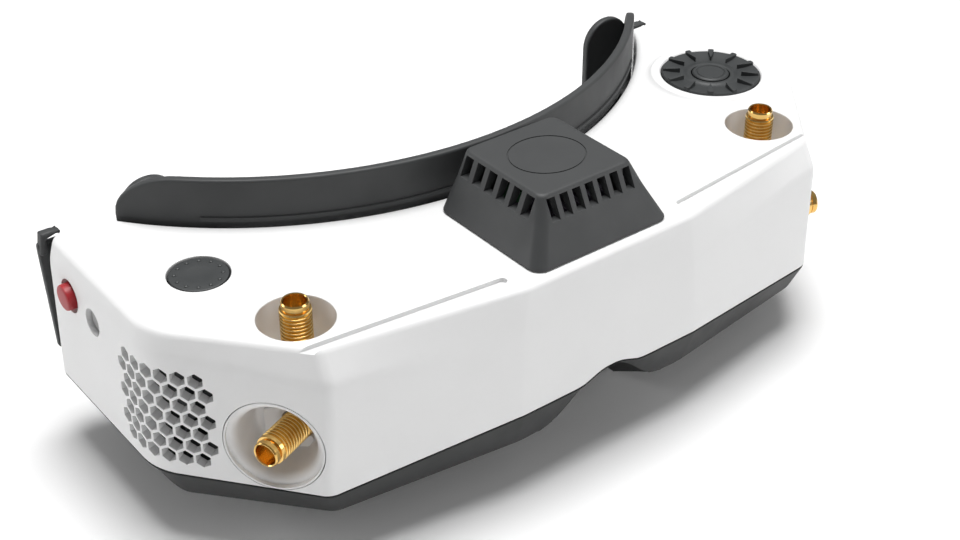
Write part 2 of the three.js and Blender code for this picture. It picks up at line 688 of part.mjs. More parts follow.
function makeRecordButton() {
  const r = RECORD.radius;
  const flange = [[0, 0], [RECORD.hole + 0.5, 0], [RECORD.hole + 0.5, 1.2], [r, 1.2]];
  const profile = [...flange, [r, 3.5], [r - 0.4, 3.5], [1.2, 3.2], [0, 3.1]];
  return turned(profile, 20, onLeftWall(RECORD));
}

const CLIP_EDGE = 88.3; // outer edge of the right clip
const CLIP_SPACING = 163.8;

// The same strap clip fits both ends, so the left one is the right one moved across.
function makeStrapBracket(side) {
  const sheet = polygon([[78, 20], [CLIP_EDGE, 20], [CLIP_EDGE, 46.4], [75.5, 46.4], [75.5, 44]]);
  const slot = box(80.2, 85, 36, 42, 26.5, 43.5);
  const curl = polygon([
    [75.5, 44], [77.1, 44], [77.3, 47.5], [80.7, 48.4], [78.8, 49], [76.4, 49], [75.5, 48.1],
  ]);
  const legs = [
    box(78, 87.2, REAR_END_Y + GAP, 39.2, 20.6, 23.2),
    box(78, 87.2, REAR_END_Y + GAP, 39.2, 44, 46),
  ];
  const body = union(frontPrism(sheet, 39, 40.4), frontPrism(curl, 38, 40.4), ...legs).subtract(slot);
  return side > 0 ? body : body.translate([-CLIP_SPACING, 0, 0]);
}

// ---------------------------------------------------------------- optics
const TO_EYE = new THREE.Vector3(0, 1, 0);

function eyeMatrix(side, y) {
  return alongDirection(TO_EYE, new THREE.Vector3(side * EYE_X, y, EYE_Z));
}

function makeCarriage(side) {
  const x = side * EYE_X;
  const tube = turnedRing([[12.4, 0], [14.6, 0], [14.6, 17.4], [12.4, 17.4]], ROUND, eyeMatrix(side, -23));
  const head = box(x - 5, x + 5, RAIL.y - 2.6, -6.2, EYE_Z + 13.2, 44);
  const yoke = box(x - 5, x + 5, RAIL.y - 2.6, RAIL.y + 2.4, 43.6, 46.8);
  const tab = box(x - 3, x + 3, -13, -8, BELLY_Z, EYE_Z - 13.2);
  const screen = box(x - 12, x + 12, -25.6, -22.8, EYE_Z - 12, EYE_Z + 12);
  const window = box(x - 8.5, x + 8.5, -27, -20, EYE_Z - 7, EYE_Z + 7);
  const bore = rod(new THREE.Vector3(x - 8, RAIL.y, RAIL.z), TO_RIGHT, 16, RAIL.radius + 0.1, 16);
  return union(tube, head, yoke, tab, screen).subtract(window).subtract(bore);
}

function makeDisplay(side) {
  const x = side * EYE_X;
  return box(x - 11, x + 11, -27.4, -25.9, EYE_Z - 10, EYE_Z + 10);
}

function makeFocusRing(side) {
  const y = -5.2;
  const profile = [[12.9, 0], [16, 0], [16, 4.6], [15.2, 5.2], [12.9, 5.2]];
  const ring = turnedRing(profile, ROUND, eyeMatrix(side, y));
  const grips = [];
  for (let i = 0; i < 14; i += 1) {
    const angle = (i * Math.PI) / 7;
    const [gx, gz] = [side * EYE_X + 16.1 * Math.cos(angle), EYE_Z + 16.1 * Math.sin(angle)];
    grips.push(rod(new THREE.Vector3(gx, y - 0.1, gz), TO_EYE, 6, 0.8, 6));
  }
  return cutAll(ring, grips);
}

function makeLens(side) {
  const profile = [[0, -1.6], [6, -1.4], [11.2, 0], [12.1, 0], [12.1, 4], [11.2, 4], [6, 5.2], [0, 5.6]];
  return turned(profile, ROUND, eyeMatrix(side, -6.4));
}

// ---------------------------------------------------------------- fans
function makeFanFrame(matrix, { size, depth, bore }) {
  const block = solid(new THREE.BoxGeometry(size, depth, size), matrix);
  const air = solid(new THREE.CylinderGeometry(bore, bore, depth + 2, 20), matrix);
  const floor = matrix.clone().multiply(at(0, -depth / 2 + 0.5, 0));
  const spokeA = solid(new THREE.BoxGeometry(size - 0.4, 1, 1.4), floor);
  const spokeB = solid(new THREE.BoxGeometry(1.4, 1, size - 0.4), floor);
  const seat = solid(new THREE.CylinderGeometry(3, 3, 1, 12), floor);
  return union(block.subtract(air), spokeA, spokeB, seat);
}

function makeRotor(matrix, { bore, depth }) {
  const height = depth - 2;
  const hub = solid(new THREE.CylinderGeometry(3.6, 3.6, height, 14), matrix.clone().multiply(at(0, 0.7, 0)));
  const blades = [];
  for (let i = 0; i < 5; i += 1) {
    const turn = new THREE.Matrix4().makeRotationY((i * 2 * Math.PI) / 5);
    const tilt = new THREE.Matrix4().makeRotationX(0.6);
    const reach = bore - 0.8 - 3;
    const blade = new THREE.BoxGeometry(reach, 0.7, height * 1.05);
    const place = matrix.clone().multiply(turn).multiply(at(3 + reach / 2, 0.7, 0));
    blades.push(solid(blade, place.multiply(tilt)));
  }
  return union(hub, ...blades);
}

const COOLING_FAN = { size: 20, depth: 6, bore: 9.2 };

function defogMatrix(side) {
  const turn = -CORNER_TURN / 2;
  const normal = new THREE.Vector3(Math.cos(turn), Math.sin(turn), 0);
  const origin = new THREE.Vector3(86.4, -7.6, 29.6).addScaledVector(normal, -8);
  origin.x *= side;
  normal.x *= side;
  return alongDirection(normal, origin);
}

const DEFOG_FAN = { size: 19, depth: 6, bore: 8.6 };

// ---------------------------------------------------------------- electronics and ports
function makeHeatsink() {
  const body = box(-11, 11, -29.6, -10, 49.7, 51.2);
  const fins = [];
  for (let i = 0; i < 6; i += 1) {
    const x = (i - 2.5) * 3.6;
    fins.push(box(x - 0.6, x + 0.6, -28.6, -18.5, 51.1, 54.4));
  }
  return union(body, ...fins);
}

function makeModuleBoard() {
  const board = box(-10.5, 10.5, -17.6, -9.6, 51.5, 52.7);
  const chip = box(-3.5, 3.5, -16.4, -11, 52.6, 53.8);
  return board.add(chip);
}

function makeMainBoard() {
  const board = box(-46, 46, -33.6, -32, 25.5, 39.5);
  const chips = [-30, -10, 12, 31].map((x) => box(x - 4.5, x + 4.5, -32.1, -30.4, 28.5, 36.5));
  return union(board, ...chips);
}

function makePowerJack() {
  const barrel = rod(new THREE.Vector3(77, 28, 30), TO_RIGHT, 11, 4, 20);
  const socket = rod(new THREE.Vector3(80, 28, 30), TO_RIGHT, 12, 2.8, 16);
  const pin = rod(new THREE.Vector3(79.5, 28, 30), TO_RIGHT, 7.5, 1, 8);
  return barrel.subtract(socket).add(pin);
}

function makeVideoPort() {
  const shell = box(78, 88, 9.9, 20.1, 27.8, 32.2);
  const mouth = box(81, 90, 10.6, 19.4, 28.5, 31.5);
  const tongue = box(80.5, 86.5, 11.6, 18.4, 29.6, 30.4);
  return shell.subtract(mouth).add(tongue);
}

function makeSideSwitches() {
  const board = box(-80.8, -79.4, 10, 31, 34.5, 44);
  const caps = [POWER, RECORD].map(({ y, z }) => box(-82, -80.7, y - 2.4, y + 2.4, z - 2.4, z + 2.4));
  return union(board, ...caps);
}

function makeEncoder() {
  return box(DIAL.x - 6, DIAL.x + 6, DIAL.y - 6, DIAL.y + 6, 41.5, 45.2);
}

function makeNavSwitch() {
  return box(NAV.x - 4, NAV.x + 4, NAV.y - 4, NAV.y + 4, 42, 45.6);
}

function makeScrew([x, y]) {
  const origin = upright(x, y, BELLY_Z);
  const profile = [[0, 0.2], [2.4, 0.2], [2.4, 0.75], [1.2, 0.75], [1.2, 5.6], [0, 6]];
  const body = turned(profile, 14, origin);
  const cross = [
    box(x - 1.3, x + 1.3, y - 0.3, y + 0.3, BELLY_Z, BELLY_Z + 0.55),
    box(x - 0.3, x + 0.3, y - 1.3, y + 1.3, BELLY_Z, BELLY_Z + 0.55),
  ];
  return cutAll(body, cross);
}

function makeFoot([x, y]) {
  return turned([[0, 0], [3.6, 0], [4, 0.4], [4, 1.1], [0, 1.1]], 16, upright(x, y, 0));
}

// ---------------------------------------------------------------- assembly
const goggles = new THREE.Group();

function addNode(name, body, material) {
  const mesh = new THREE.Mesh(geometryOf(body), material);
  mesh.name = name;
  goggles.add(mesh);
}

addNode('upper_shell', makeUpperShell(), WHITE);
addNode('lower_cover', makeLowerCover(), BLACK);
addNode('rear_panel', makeRearPanel(), BLACK);
addNode('faceplate', makeFaceplate(), GREY);
addNode('top_cover', makeTopCover(), GREY);
addNode('nav_button', makeNavButton(), GREY);
addNode('nav_switch', makeNavSwitch(), BLACK);
addNode('dial_knob', makeDial(), GREY);
addNode('dial_button', makeDialButton(), GREY);
addNode('dial_encoder', makeEncoder(), BLACK);
addNode('power_button', makePowerButton(), RED);
addNode('record_button', makeRecordButton(), WHITE);
addNode('side_switch_board', makeSideSwitches(), BOARD);
addNode('power_jack', makePowerJack(), BLACK);
addNode('video_port', makeVideoPort(), STEEL);
addNode('module_board', makeModuleBoard(), BOARD);
addNode('module_heatsink', makeHeatsink(), METAL);
addNode('main_board', makeMainBoard(), BOARD);
addNode('ipd_rail', rod(
  new THREE.Vector3(-RAIL.halfLength, RAIL.y, RAIL.z),
  TO_RIGHT,
  RAIL.halfLength * 2,
  RAIL.radius,
  16,
), STEEL);

const coolingPlace = upright(0, -20.2, 43.2);
addNode('cooling_fan_frame', makeFanFrame(coolingPlace, COOLING_FAN), BLACK);
addNode('cooling_fan_rotor', makeRotor(coolingPlace, COOLING_FAN), BLACK);

[['left', -1], ['right', 1]].forEach(([name, side]) => {
  addNode(`antenna_jack_top_${name}`, makeTopJack(side), GOLD);
  addNode(`antenna_nut_top_${name}`, makeNut(upright(side * POCKET.x, POCKET.y, POCKET.floorZ + 0.1)), GOLD);
  addNode(`antenna_jack_side_${name}`, makeSideJack(side), GOLD);
  addNode(`antenna_cup_${name}`, makeCup(side), WHITE);
  addNode(`strap_bracket_${name}`, makeStrapBracket(side), GREY);
  addNode(`optics_carriage_${name}`, makeCarriage(side), BLACK);
  addNode(`display_panel_${name}`, makeDisplay(side), METAL);
  addNode(`focus_ring_${name}`, makeFocusRing(side), GREY);
  addNode(`eyepiece_lens_${name}`, makeLens(side), GLASS);
  const defog = defogMatrix(side);
  addNode(`defog_fan_frame_${name}`, makeFanFrame(defog, DEFOG_FAN), BLACK);
  addNode(`defog_fan_rotor_${name}`, makeRotor(defog, DEFOG_FAN), GREY);
});

SCREWS.forEach((place, i) => addNode(`base_screw_${i + 1}`, makeScrew(place), STEEL));
FEET.forEach((place, i) => addNode(`rubber_foot_${i + 1}`, makeFoot(place), RUBBER));

export default goggles;
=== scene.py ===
import json
import math

import bmesh
import bpy
from mathutils import Matrix, Vector


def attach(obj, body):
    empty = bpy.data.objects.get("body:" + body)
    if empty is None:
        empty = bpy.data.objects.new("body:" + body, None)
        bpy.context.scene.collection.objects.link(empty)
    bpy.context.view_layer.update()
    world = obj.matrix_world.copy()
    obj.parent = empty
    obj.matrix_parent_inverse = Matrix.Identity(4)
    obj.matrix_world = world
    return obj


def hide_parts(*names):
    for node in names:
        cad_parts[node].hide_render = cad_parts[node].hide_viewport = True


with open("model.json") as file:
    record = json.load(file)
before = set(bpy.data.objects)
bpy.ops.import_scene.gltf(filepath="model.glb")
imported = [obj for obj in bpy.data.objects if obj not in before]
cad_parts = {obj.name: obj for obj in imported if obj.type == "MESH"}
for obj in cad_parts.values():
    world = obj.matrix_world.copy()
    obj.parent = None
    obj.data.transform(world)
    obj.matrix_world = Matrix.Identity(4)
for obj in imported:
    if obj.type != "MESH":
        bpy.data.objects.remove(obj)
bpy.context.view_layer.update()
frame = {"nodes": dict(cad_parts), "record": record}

# Box-style FPV goggles. Lengths are millimetres in the code and become metres in new_object().
# +Z is up, -Y is the front and the wearer is at +Y, as in the frame.
MM = 0.001
TOP_Z = 49.2  # flat top of the upper shell
WALL = 2.0
GAP = 0.3
REAR_RADIUS = 91.4  # concave rear edge that wraps the face
REAR_CENTRE_Y = 89.75
REAR_END = (74.8, 37.2)
SIDE_FILLET = 14.6
FRONT_FILLET = 4.0
JUNCTION_FILLET = 9.0
REAR_FILLET = 3.0
CHEEK_NORMAL = Vector((0.774, -0.634, 0)).normalized()
CHEEK_SHARP = Vector((88.6, -5.7))
BELLY_Z = 1.2
POCKET = dict(x=62.5, y=-18.7, radius=7.6, wall=1.6, floor=39.2)
JACK = dict(radius=3.175, bore=2.3, rim=2.75, top=53.1)
CUP = dict(centre=Vector((72.7, -24.7, 27.1)), radius=10.2, depth=9.6, floor=8.0)
SIDE_JACK = dict(tip=Vector((75.9, -26.3, 27.2)), angle=22.5, length=15.2)
NAV = dict(x=-69.5, y=5.7, radius=6.1)
DIAL = dict(x=70.9, y=5.4, radius=11.7, button=4.4, boss=15.2)
POWER = dict(y=26.7, z=40.4, radius=2.8, hole=3.7)
RECORD = dict(y=16.6, z=39.5, radius=2.7, hole=3.0)
POWER_INLET = dict(y=28, z=30, hole=4.3)
WALL_X = 88.1  # end wall at the height of the side buttons
HEX = dict(pitch=3.6, inner=1.5, outer=1.93, rows=7, row_pitch=3.13, top=39.9, start_even=-4.8,
           start_odd=-6.6)
EYE = (33.0, 27.0)
COVER = dict(top=62.2, crease=56.9, base=49.45, wall=1.8)
CLIP_EDGE = 88.3  # outer edge of the right strap clip
CLIP_SPACING = 163.8  # the same strap clip is used at both ends
UP = Vector((0, 0, 1))
TO_RIGHT = Vector((1, 0, 0))
TO_EYE = Vector((0, 1, 0))


# ---------------------------------------------------------------- mesh helpers
def new_object(name, points, faces):
    mesh = bpy.data.meshes.new(name)
    mesh.from_pydata([Vector(p) * MM for p in points], [], faces)
    mesh.validate()
    obj = bpy.data.objects.new(name, mesh)
    bpy.context.scene.collection.objects.link(obj)
    outward(obj)
    return obj


def outward(obj):
    edit = bmesh.new()
    edit.from_mesh(obj.data)
    bmesh.ops.recalc_face_normals(edit, faces=edit.faces)
    edit.to_mesh(obj.data)
    edit.free()


def bake(obj):
    """Puts the result of the modifiers into the mesh."""
    bpy.context.view_layer.update()
    graph = bpy.context.evaluated_depsgraph_get()
    mesh = bpy.data.meshes.new_from_object(obj.evaluated_get(graph))
    obj.modifiers.clear()
    old = obj.data
    obj.data = mesh
    bpy.data.meshes.remove(old)
    return obj


def joined(name, objects):
    edit = bmesh.new()
    for obj in objects:
        obj.data.transform(obj.matrix_world)
        edit.from_mesh(obj.data)
        bpy.data.objects.remove(obj)
    mesh = bpy.data.meshes.new(name)
    edit.to_mesh(mesh)
    edit.free()
    whole = bpy.data.objects.new(name, mesh)
    bpy.context.scene.collection.objects.link(whole)
    return whole


def boolean(target, tools, operation="DIFFERENCE"):
    """Cuts, joins or intersects target with tools, which may not overlap each other."""
    tool = joined("tool", tools)
    modifier = target.modifiers.new("shape", "BOOLEAN")
    modifier.operation = operation
    modifier.solver = "EXACT"
    modifier.object = tool
    bake(target)
    bpy.data.objects.remove(tool)
    return target


def bevelled(obj, width, segments=2, angle=40):
    modifier = obj.modifiers.new("edges", "BEVEL")
    modifier.width = width * MM
    modifier.segments = segments
    modifier.limit_method = "ANGLE"
    modifier.angle_limit = math.radians(angle)
    modifier.use_clamp_overlap = True
    return bake(obj)


def smooth(obj, angle=32):
    obj.data.shade_smooth()
    obj.data.set_sharp_from_angle(angle=math.radians(angle))
    modifier = obj.modifiers.new("normals", "WEIGHTED_NORMAL")
    modifier.keep_sharp = True
    return obj


def copied(obj):
    twin = obj.copy()
    twin.data = obj.data.copy()
    bpy.context.scene.collection.objects.link(twin)
    return twin


def mirrored(obj, name):
    twin = copied(obj)
    twin.name = name
    twin.data.transform(Matrix.Scale(-1, 4, TO_RIGHT))
    twin.data.flip_normals()
    return twin


def along(direction, origin):
    """Frame whose +Y follows direction."""
    y_axis = Vector(direction).normalized()
    up = Vector((0, 1, 0)) if abs(y_axis.z) > 0.9 else UP
    x_axis = y_axis.cross(up).normalized()
    z_axis = x_axis.cross(y_axis).normalized()
    turn = Matrix((x_axis, y_axis, z_axis)).transposed().to_4x4()
    return Matrix.Translation(Vector(origin)) @ turn


def upright(x, y, z):
    return along(UP, (x, y, z))


def turned(name, profile, matrix, sides=64, closed=False):
    """Body of revolution about the frame's +Y from (radius, height) pairs."""
    points, faces = [], []
    rows = []
    for radius, height in profile:
        if radius < 1e-6:
            rows.append([len(points)] * sides)
            points.append(matrix @ Vector((0, height, 0)))
            continue
        rows.append([len(points) + i for i in range(sides)])
        for i in range(sides):
            turn = 2 * math.pi * i / sides
            points.append(matrix @ Vector((radius * math.cos(turn), height, radius * math.sin(turn))))
    pairs = list(zip(rows, rows[1:]))
    if closed:
        pairs.append((rows[-1], rows[0]))
    for low, high in pairs:
        for i in range(sides):
            j = (i + 1) % sides
            face = list(dict.fromkeys([low[i], low[j], high[j], high[i]]))
            if len(face) > 2:
                faces.append(face)
    return new_object(name, points, faces)


def rod(name, start, direction, length, radius, sides=48, end_radius=None):
    end = radius if end_radius is None else end_radius
    profile = [(0, 0), (radius, 0), (end, length), (0, length)]
    return turned(name, profile, along(direction, start), sides)


def box(name, x0, x1, y0, y1, z0, z1):
    points = [(x, y, z) for x in (x0, x1) for y in (y0, y1) for z in (z0, z1)]
    faces = [(0, 1, 3, 2), (4, 6, 7, 5), (0, 4, 5, 1), (2, 3, 7, 6), (0, 2, 6, 4), (1, 5, 7, 3)]
    return new_object(name, points, faces)


def arc(centre, radius, start, end, steps):
    """Points on a circle, angles in degrees."""
    angles = [math.radians(start + (end - start) * i / steps) for i in range(steps + 1)]
    return [(centre[0] + radius * math.cos(a), centre[1] + radius * math.sin(a)) for a in angles]


def round_rect(x0, x1, y0, y1, radius, steps=10):
    corners = [(x1 - radius, y0 + radius, -90), (x1 - radius, y1 - radius, 0)]
    corners += [(x0 + radius, y1 - radius, 90), (x0 + radius, y0 + radius, 180)]
    return [p for x, y, a in corners for p in arc((x, y), radius, a, a + 90, steps)]


def prism(name, outline, low, high, matrix=None):
    """Outline (x, y) raised from low to high along local Z."""
    place = matrix or Matrix.Identity(4)
    count = len(outline)
    points = [place @ Vector((x, y, z)) for z in (low, high) for x, y in outline]
    sides = [(i, (i + 1) % count, count + (i + 1) % count, count + i) for i in range(count)]
    caps = [tuple(range(count))[::-1], tuple(range(count, 2 * count))]
    return new_object(name, points, sides + caps)


def plate(name, loops, thickness, edge, matrix):
    """Flat plate with rounded edges and holes: the first loop is its outline, in local X and Y."""
    curve = bpy.data.curves.new(name, "CURVE")
    curve.dimensions = "2D"
    curve.fill_mode = "BOTH"
    curve.extrude = (thickness / 2 - edge) * MM
    curve.bevel_depth = edge * MM
    curve.bevel_resolution = 2
    curve.offset = -edge * MM
    for loop in loops:
        spline = curve.splines.new("POLY")
        spline.points.add(len(loop) - 1)
        for point, (x, y) in zip(spline.points, loop):
            point.co = (x * MM, y * MM, 0, 1)
        spline.use_cyclic_u = True
    shape = bpy.data.objects.new(name, curve)
    bpy.context.scene.collection.objects.link(shape)
    bpy.context.view_layer.update()
    mesh = bpy.data.meshes.new_from_object(shape)
    bpy.data.objects.remove(shape)
    edit = bmesh.new()
    edit.from_mesh(mesh)
    bmesh.ops.remove_doubles(edit, verts=edit.verts, dist=1e-7)
    bmesh.ops.recalc_face_normals(edit, faces=edit.faces)
    edit.to_mesh(mesh)
    edit.free()
    flat = bpy.data.objects.new(name, mesh)
    bpy.context.scene.collection.objects.link(flat)
    scaled = matrix.copy()
    scaled.translation = matrix.translation * MM
    flat.data.transform(scaled)
    return flat


def facing_wearer(y):
    """Frame for plates drawn in front view: local X, Y become X, Z and local Z points to the front."""
    return Matrix.Translation(Vector((0, y, 0))) @ Matrix.Rotation(math.pi / 2, 4, "X")


def wrapped(obj, radius, limit, steps=64):
    """Bends a plate lying at y = 0 round the wearer's face: x stays the front-view x."""
    edit = bmesh.new()
    edit.from_mesh(obj.data)
    for i in range(1, steps):
        x = limit * (2 * i / steps - 1) * MM
        everything = edit.verts[:] + edit.edges[:] + edit.faces[:]
        bmesh.ops.bisect_plane(edit, geom=everything, dist=1e-8, plane_co=(x, 0, 0), plane_no=(1, 0, 0))
    for vert in edit.verts:
        turn = math.asin(vert.co.x / (radius * MM))
        reach = radius * MM - vert.co.y
        vert.co.x = reach * math.sin(turn)
        vert.co.y = REAR_CENTRE_Y * MM - reach * math.cos(turn)
    edit.to_mesh(obj.data)
    edit.free()
    return obj


def rounded(points, radii, steps):
    """Polyline through points with each inner corner eased by its radius."""
    line = [points[0]]
    for before, corner, after, radius in zip(points, points[1:], points[2:], radii):
        if not radius:
            line.append(corner)
            continue
        back, ahead = before - corner, after - corner
        start = corner + back.normalized() * min(radius, back.length * 0.48)
        end = corner + ahead.normalized() * min(radius, ahead.length * 0.48)
        for i in range(steps + 1):
            t = i / steps
            line.append(start * (1 - t) ** 2 + corner * 2 * t * (1 - t) + end * t * t)
    return line + [points[-1]]


def woven(name, columns):
    """Closed surface through columns of points, with a cap over each end."""
    count, height = len(columns), len(columns[0])
    points = [p for column in columns for p in column]
    faces = []
    for i in range(count):
        j = (i + 1) % count
        for k in range(height - 1):
            faces.append((i * height + k, j * height + k, j * height + k + 1, i * height + k + 1))
    faces.append([i * height for i in range(count)])
    faces.append([i * height + height - 1 for i in range(count)])
    return new_object(name, points, faces)


# ---------------------------------------------------------------- housing outline
def fillet(before, corner, after, radius, steps):
    c = Vector(corner[:2])
    back = (Vector(before[:2]) - c).normalized()
    ahead = (Vector(after[:2]) - c).normalized()
    half = math.acos(back.dot(ahead)) / 2
    centre = c + (back + ahead).normalized() * radius / math.sin(half)
    start = c + back * radius / math.tan(half) - centre
    turn = start.angle_signed(c + ahead * radius / math.tan(half) - centre)
    return [centre + Matrix.Rotation(-turn * i / steps, 2) @ start for i in range(steps + 1)]


def between(a, b, steps):
    """Inner points of the straight line from a to b."""
    return [a.lerp(b, i / steps) for i in range(1, steps)]


def eased(t):
    t = min(1.0, max(0.0, t))
    return t * t * (3 - 2 * t)


def arch(table, x):
    """Height at x from (x, z) pairs with falling x, straight between the pairs."""
    x = min(table[0][0], abs(x))
    for (x1, z1), (x0, z0) in zip(table, table[1:]):
        if x >= x0:
            return z0 + (z1 - z0) * (x - x0) / (x1 - x0)
    return table[-1][1]


SEAM_ARCH = [(16.5, 19.95), (10.2, 19.95), (8.8, 20.0), (7.2, 20.25), (5.6, 20.85), (4.2, 21.4),
             (2.9, 21.8), (1.4, 22.05), (0, 22.1)]
STRIP_ARCH = [(21.5, 10.9), (16.5, 11.1), (12.9, 12.2), (10.2, 13.9), (7.8, 16), (5.6, 18), (4.2, 18.9),
              (2.9, 19.4), (1.4, 19.8), (0, 19.9)]
NOSE_STEPS = 16


def ring(level):
    """One closed outline of the housing, starting at the middle of the rear edge."""
    half = []
    reach = math.asin(level["rear"][0] / level["rear_radius"])
    for i in range(48):
        turn = reach * i / 48
        x = level["rear_radius"] * math.sin(turn)
        half.append(Vector((x, REAR_CENTRE_Y - level["rear_radius"] * math.cos(turn), level["rear_z"](x))))
    half.append(Vector((*level["rear"], level["rear_z"](level["rear"][0]))))
    end = Vector(level["end"])
    rear_round = fillet(level["rear"], end, level["side"], REAR_FILLET, 6)
    half += [Vector((*p, end.z)) for p in rear_round]
    side_round = fillet(end, level["side"], level["corner"], level["side_fillet"], 16)
    side = [Vector((*p, level["side_z"](i / 16))) for i, p in enumerate(side_round)]
    half += between(half[-1], side[0], 6) + side
    corner = [Vector((*p, level["corner"][2]))
              for p in fillet(level["side"], level["corner"], level["junction"], FRONT_FILLET, 8)]
    half += between(half[-1], corner[0], 8) + corner
    centre = (0, level["junction"][1])
    junction = [Vector((*p, level["junction"][2]))
                for p in fillet(level["corner"], level["junction"], centre, JUNCTION_FILLET, 6)]
    half += between(half[-1], junction[0], 12) + junction
    last = junction[-1]
    for i in range(1, NOSE_STEPS + 1):
        x = last.x * (1 - i / NOSE_STEPS)
        half.append(Vector((x, last.y, level["nose_z"](x))))
    left = [Vector((-p.x, p.y, p.z)) for p in half[-2:0:-1]]
    return half + left


def inset(points, distance, lift=0):
    """The outline moved inwards; points run clockwise seen from above."""
    moved = []
    for i, point in enumerate(points):
        before, after = points[i - 1], points[(i + 1) % len(points)]
        e0 = (point - before).xy.normalized()
        e1 = (after - point).xy.normalized()
        n0, n1 = Vector((e0.y, -e0.x)), Vector((e1.y, -e1.x))
        miter = (n0 + n1).normalized()
        step = miter * distance / max(0.5, miter.dot(n1))
        moved.append(Vector((point.x + step.x, point.y + step.y, point.z + lift)))
    return moved


def level(base=None, **changes):
    return {**(base or {}), **changes}


TOP_LEVEL = level(rear_radius=REAR_RADIUS, rear=REAR_END, rear_z=lambda x: TOP_Z,
                  end=(86.4, 37.2, TOP_Z), side=(87.4, -4.6), side_z=lambda t: TOP_Z,
                  side_fillet=SIDE_FILLET, corner=(65.1, -30.2, TOP_Z), junction=(21.7, -38.5, TOP_Z),
                  nose_z=lambda x: TOP_Z)
CHAMFER_LEVEL = level(TOP_LEVEL, rear_z=lambda x: 44.7, end=(87.9, 37.2, 44.7), side=(88.3, -5.7),
                      side_z=lambda t: 44.6, corner=(65.6, -33.9, 42.9), junction=(23.2, -39.1, 38.85),
                      nose_z=lambda x: 38.85)
SEAM_LEVEL = level(TOP_LEVEL, rear_z=lambda x: 16.7, end=(88.9, 37.2, 16.7), side=(89.2, -5.6),
                   side_z=lambda t: 16.7, corner=(66.6, -33.6, 16.7), junction=(24.15, -40.2, 19.95),
                   nose_z=lambda x: arch(SEAM_ARCH, x))
STRIP_LEVEL = level(rear_radius=REAR_RADIUS + 1, rear=(74.2, 37.0),
                    rear_z=lambda x: 8 + 7.6 * eased((x - 50) / 24), end=(87.6, 36.6, 15.6),
                    side=(87.6, -4.9), side_z=lambda t: 15.6 - 5.2 * eased(t), side_fillet=SIDE_FILLET,
                    corner=(64.4, -31.4, 10.2), junction=(23.3, -37.5, 11),
                    nose_z=lambda x: arch(STRIP_ARCH, x))
BELLY_LEVEL = level(rear_radius=REAR_RADIUS + 2, rear=(58, 16.5), rear_z=lambda x: BELLY_Z,
                    end=(64, 18.5, BELLY_Z), side=(66, -2), side_fillet=9, side_z=lambda t: BELLY_Z,
                    corner=(50, -17, BELLY_Z), junction=(20, -22, BELLY_Z), nose_z=lambda x: BELLY_Z)


def wall_point(distance):
    """Place and direction on the wall, measured rearwards from where the flat cheek ends."""
    turn = math.acos(CHEEK_NORMAL.x)
    tangent = SIDE_FILLET * math.tan(turn / 2)
    forward = Vector((CHEEK_NORMAL.y, -CHEEK_NORMAL.x))
    if distance <= 0:
        return CHEEK_SHARP + forward * (tangent - distance), CHEEK_NORMAL.copy()
    if distance >= SIDE_FILLET * turn:
        y = CHEEK_SHARP.y + tangent + distance - SIDE_FILLET * turn
        return Vector((CHEEK_SHARP.x, y)), TO_RIGHT.copy()
    angle = distance / SIDE_FILLET - turn
    normal = Vector((math.cos(angle), math.sin(angle), 0))
    centre = Vector((CHEEK_SHARP.x - SIDE_FILLET, CHEEK_SHARP.y + tangent))
    return centre + normal.xy * SIDE_FILLET, normal


# ---------------------------------------------------------------- upper shell
def shell_blank():
    top, chamfer, seam = ring(TOP_LEVEL), ring(CHAMFER_LEVEL), ring(SEAM_LEVEL)
    flat = inset(top, 2.8)
    lip, ledge, roof = inset(seam, WALL), inset(chamfer, WALL, -0.6), inset(top, WALL + 0.6, -WALL)
    columns = []
    for points in zip(flat, top, chamfer, seam, lip, ledge, roof):
        columns.append(rounded(list(points), [1.3, 1.5, 0.35, 0.3, 0], 4))
    return woven("upper_shell_skin", columns)


def outside_blank():
    """The space inside the outer surface of the upper shell."""
    columns = []
    top, chamfer, seam = ring(TOP_LEVEL), ring(CHAMFER_LEVEL), ring(SEAM_LEVEL)
    for points in zip(inset(top, 2.8), top, chamfer, seam):
        columns.append(rounded(list(points), [1.3, 1.5], 4))
    return woven("outside", columns)


def honeycomb():
    cells = []
    for row in range(HEX["rows"]):
        odd = row % 2
        for column in range(6 + odd):
            distance = (HEX["start_odd"] if odd else HEX["start_even"]) + column * HEX["pitch"]
            place, normal = wall_point(distance)
            start = Vector((*place, HEX["top"] - row * HEX["row_pitch"])) - normal * 3
            cells.append(hex_rod(start, normal, 5, HEX["inner"], HEX["outer"]))
    return joined("honeycomb", cells)


def hex_rod(start, direction, length, inner, outer):
    matrix = along(direction, start)
    points = []
    for height, radius in ((0, inner), (length, outer)):
        for i in range(6):
            turn = math.pi * (i / 3 + 1 / 6)
            points.append(matrix @ Vector((radius * math.cos(turn), height, radius * math.sin(turn))))
    faces = [(i, (i + 1) % 6, (i + 1) % 6 + 6, i + 6) for i in range(6)]
    return new_object("cell", points, [*faces, tuple(range(6)), tuple(range(6, 12))])


def hole(x, y, radius, floor, rim=0.45, sides=64):
    """Cutter for a round opening in the top, with an eased rim."""
    outer = radius + rim * 2
    profile = [(0, floor), (radius, floor), (radius, TOP_Z - rim), (radius + rim * 0.3, TOP_Z - rim * 0.3),
               (radius + rim, TOP_Z), (outer, TOP_Z + 1), (outer, TOP_Z + 6), (0, TOP_Z + 6)]
    return turned("hole", profile, upright(x, y, 0), sides)


def cheek_rod(radius, low, high, end_radius=None, sides=72):
    start = CUP["centre"] + CHEEK_NORMAL * low
    return rod("cheek_rod", start, CHEEK_NORMAL, high - low, radius, sides, end_radius)


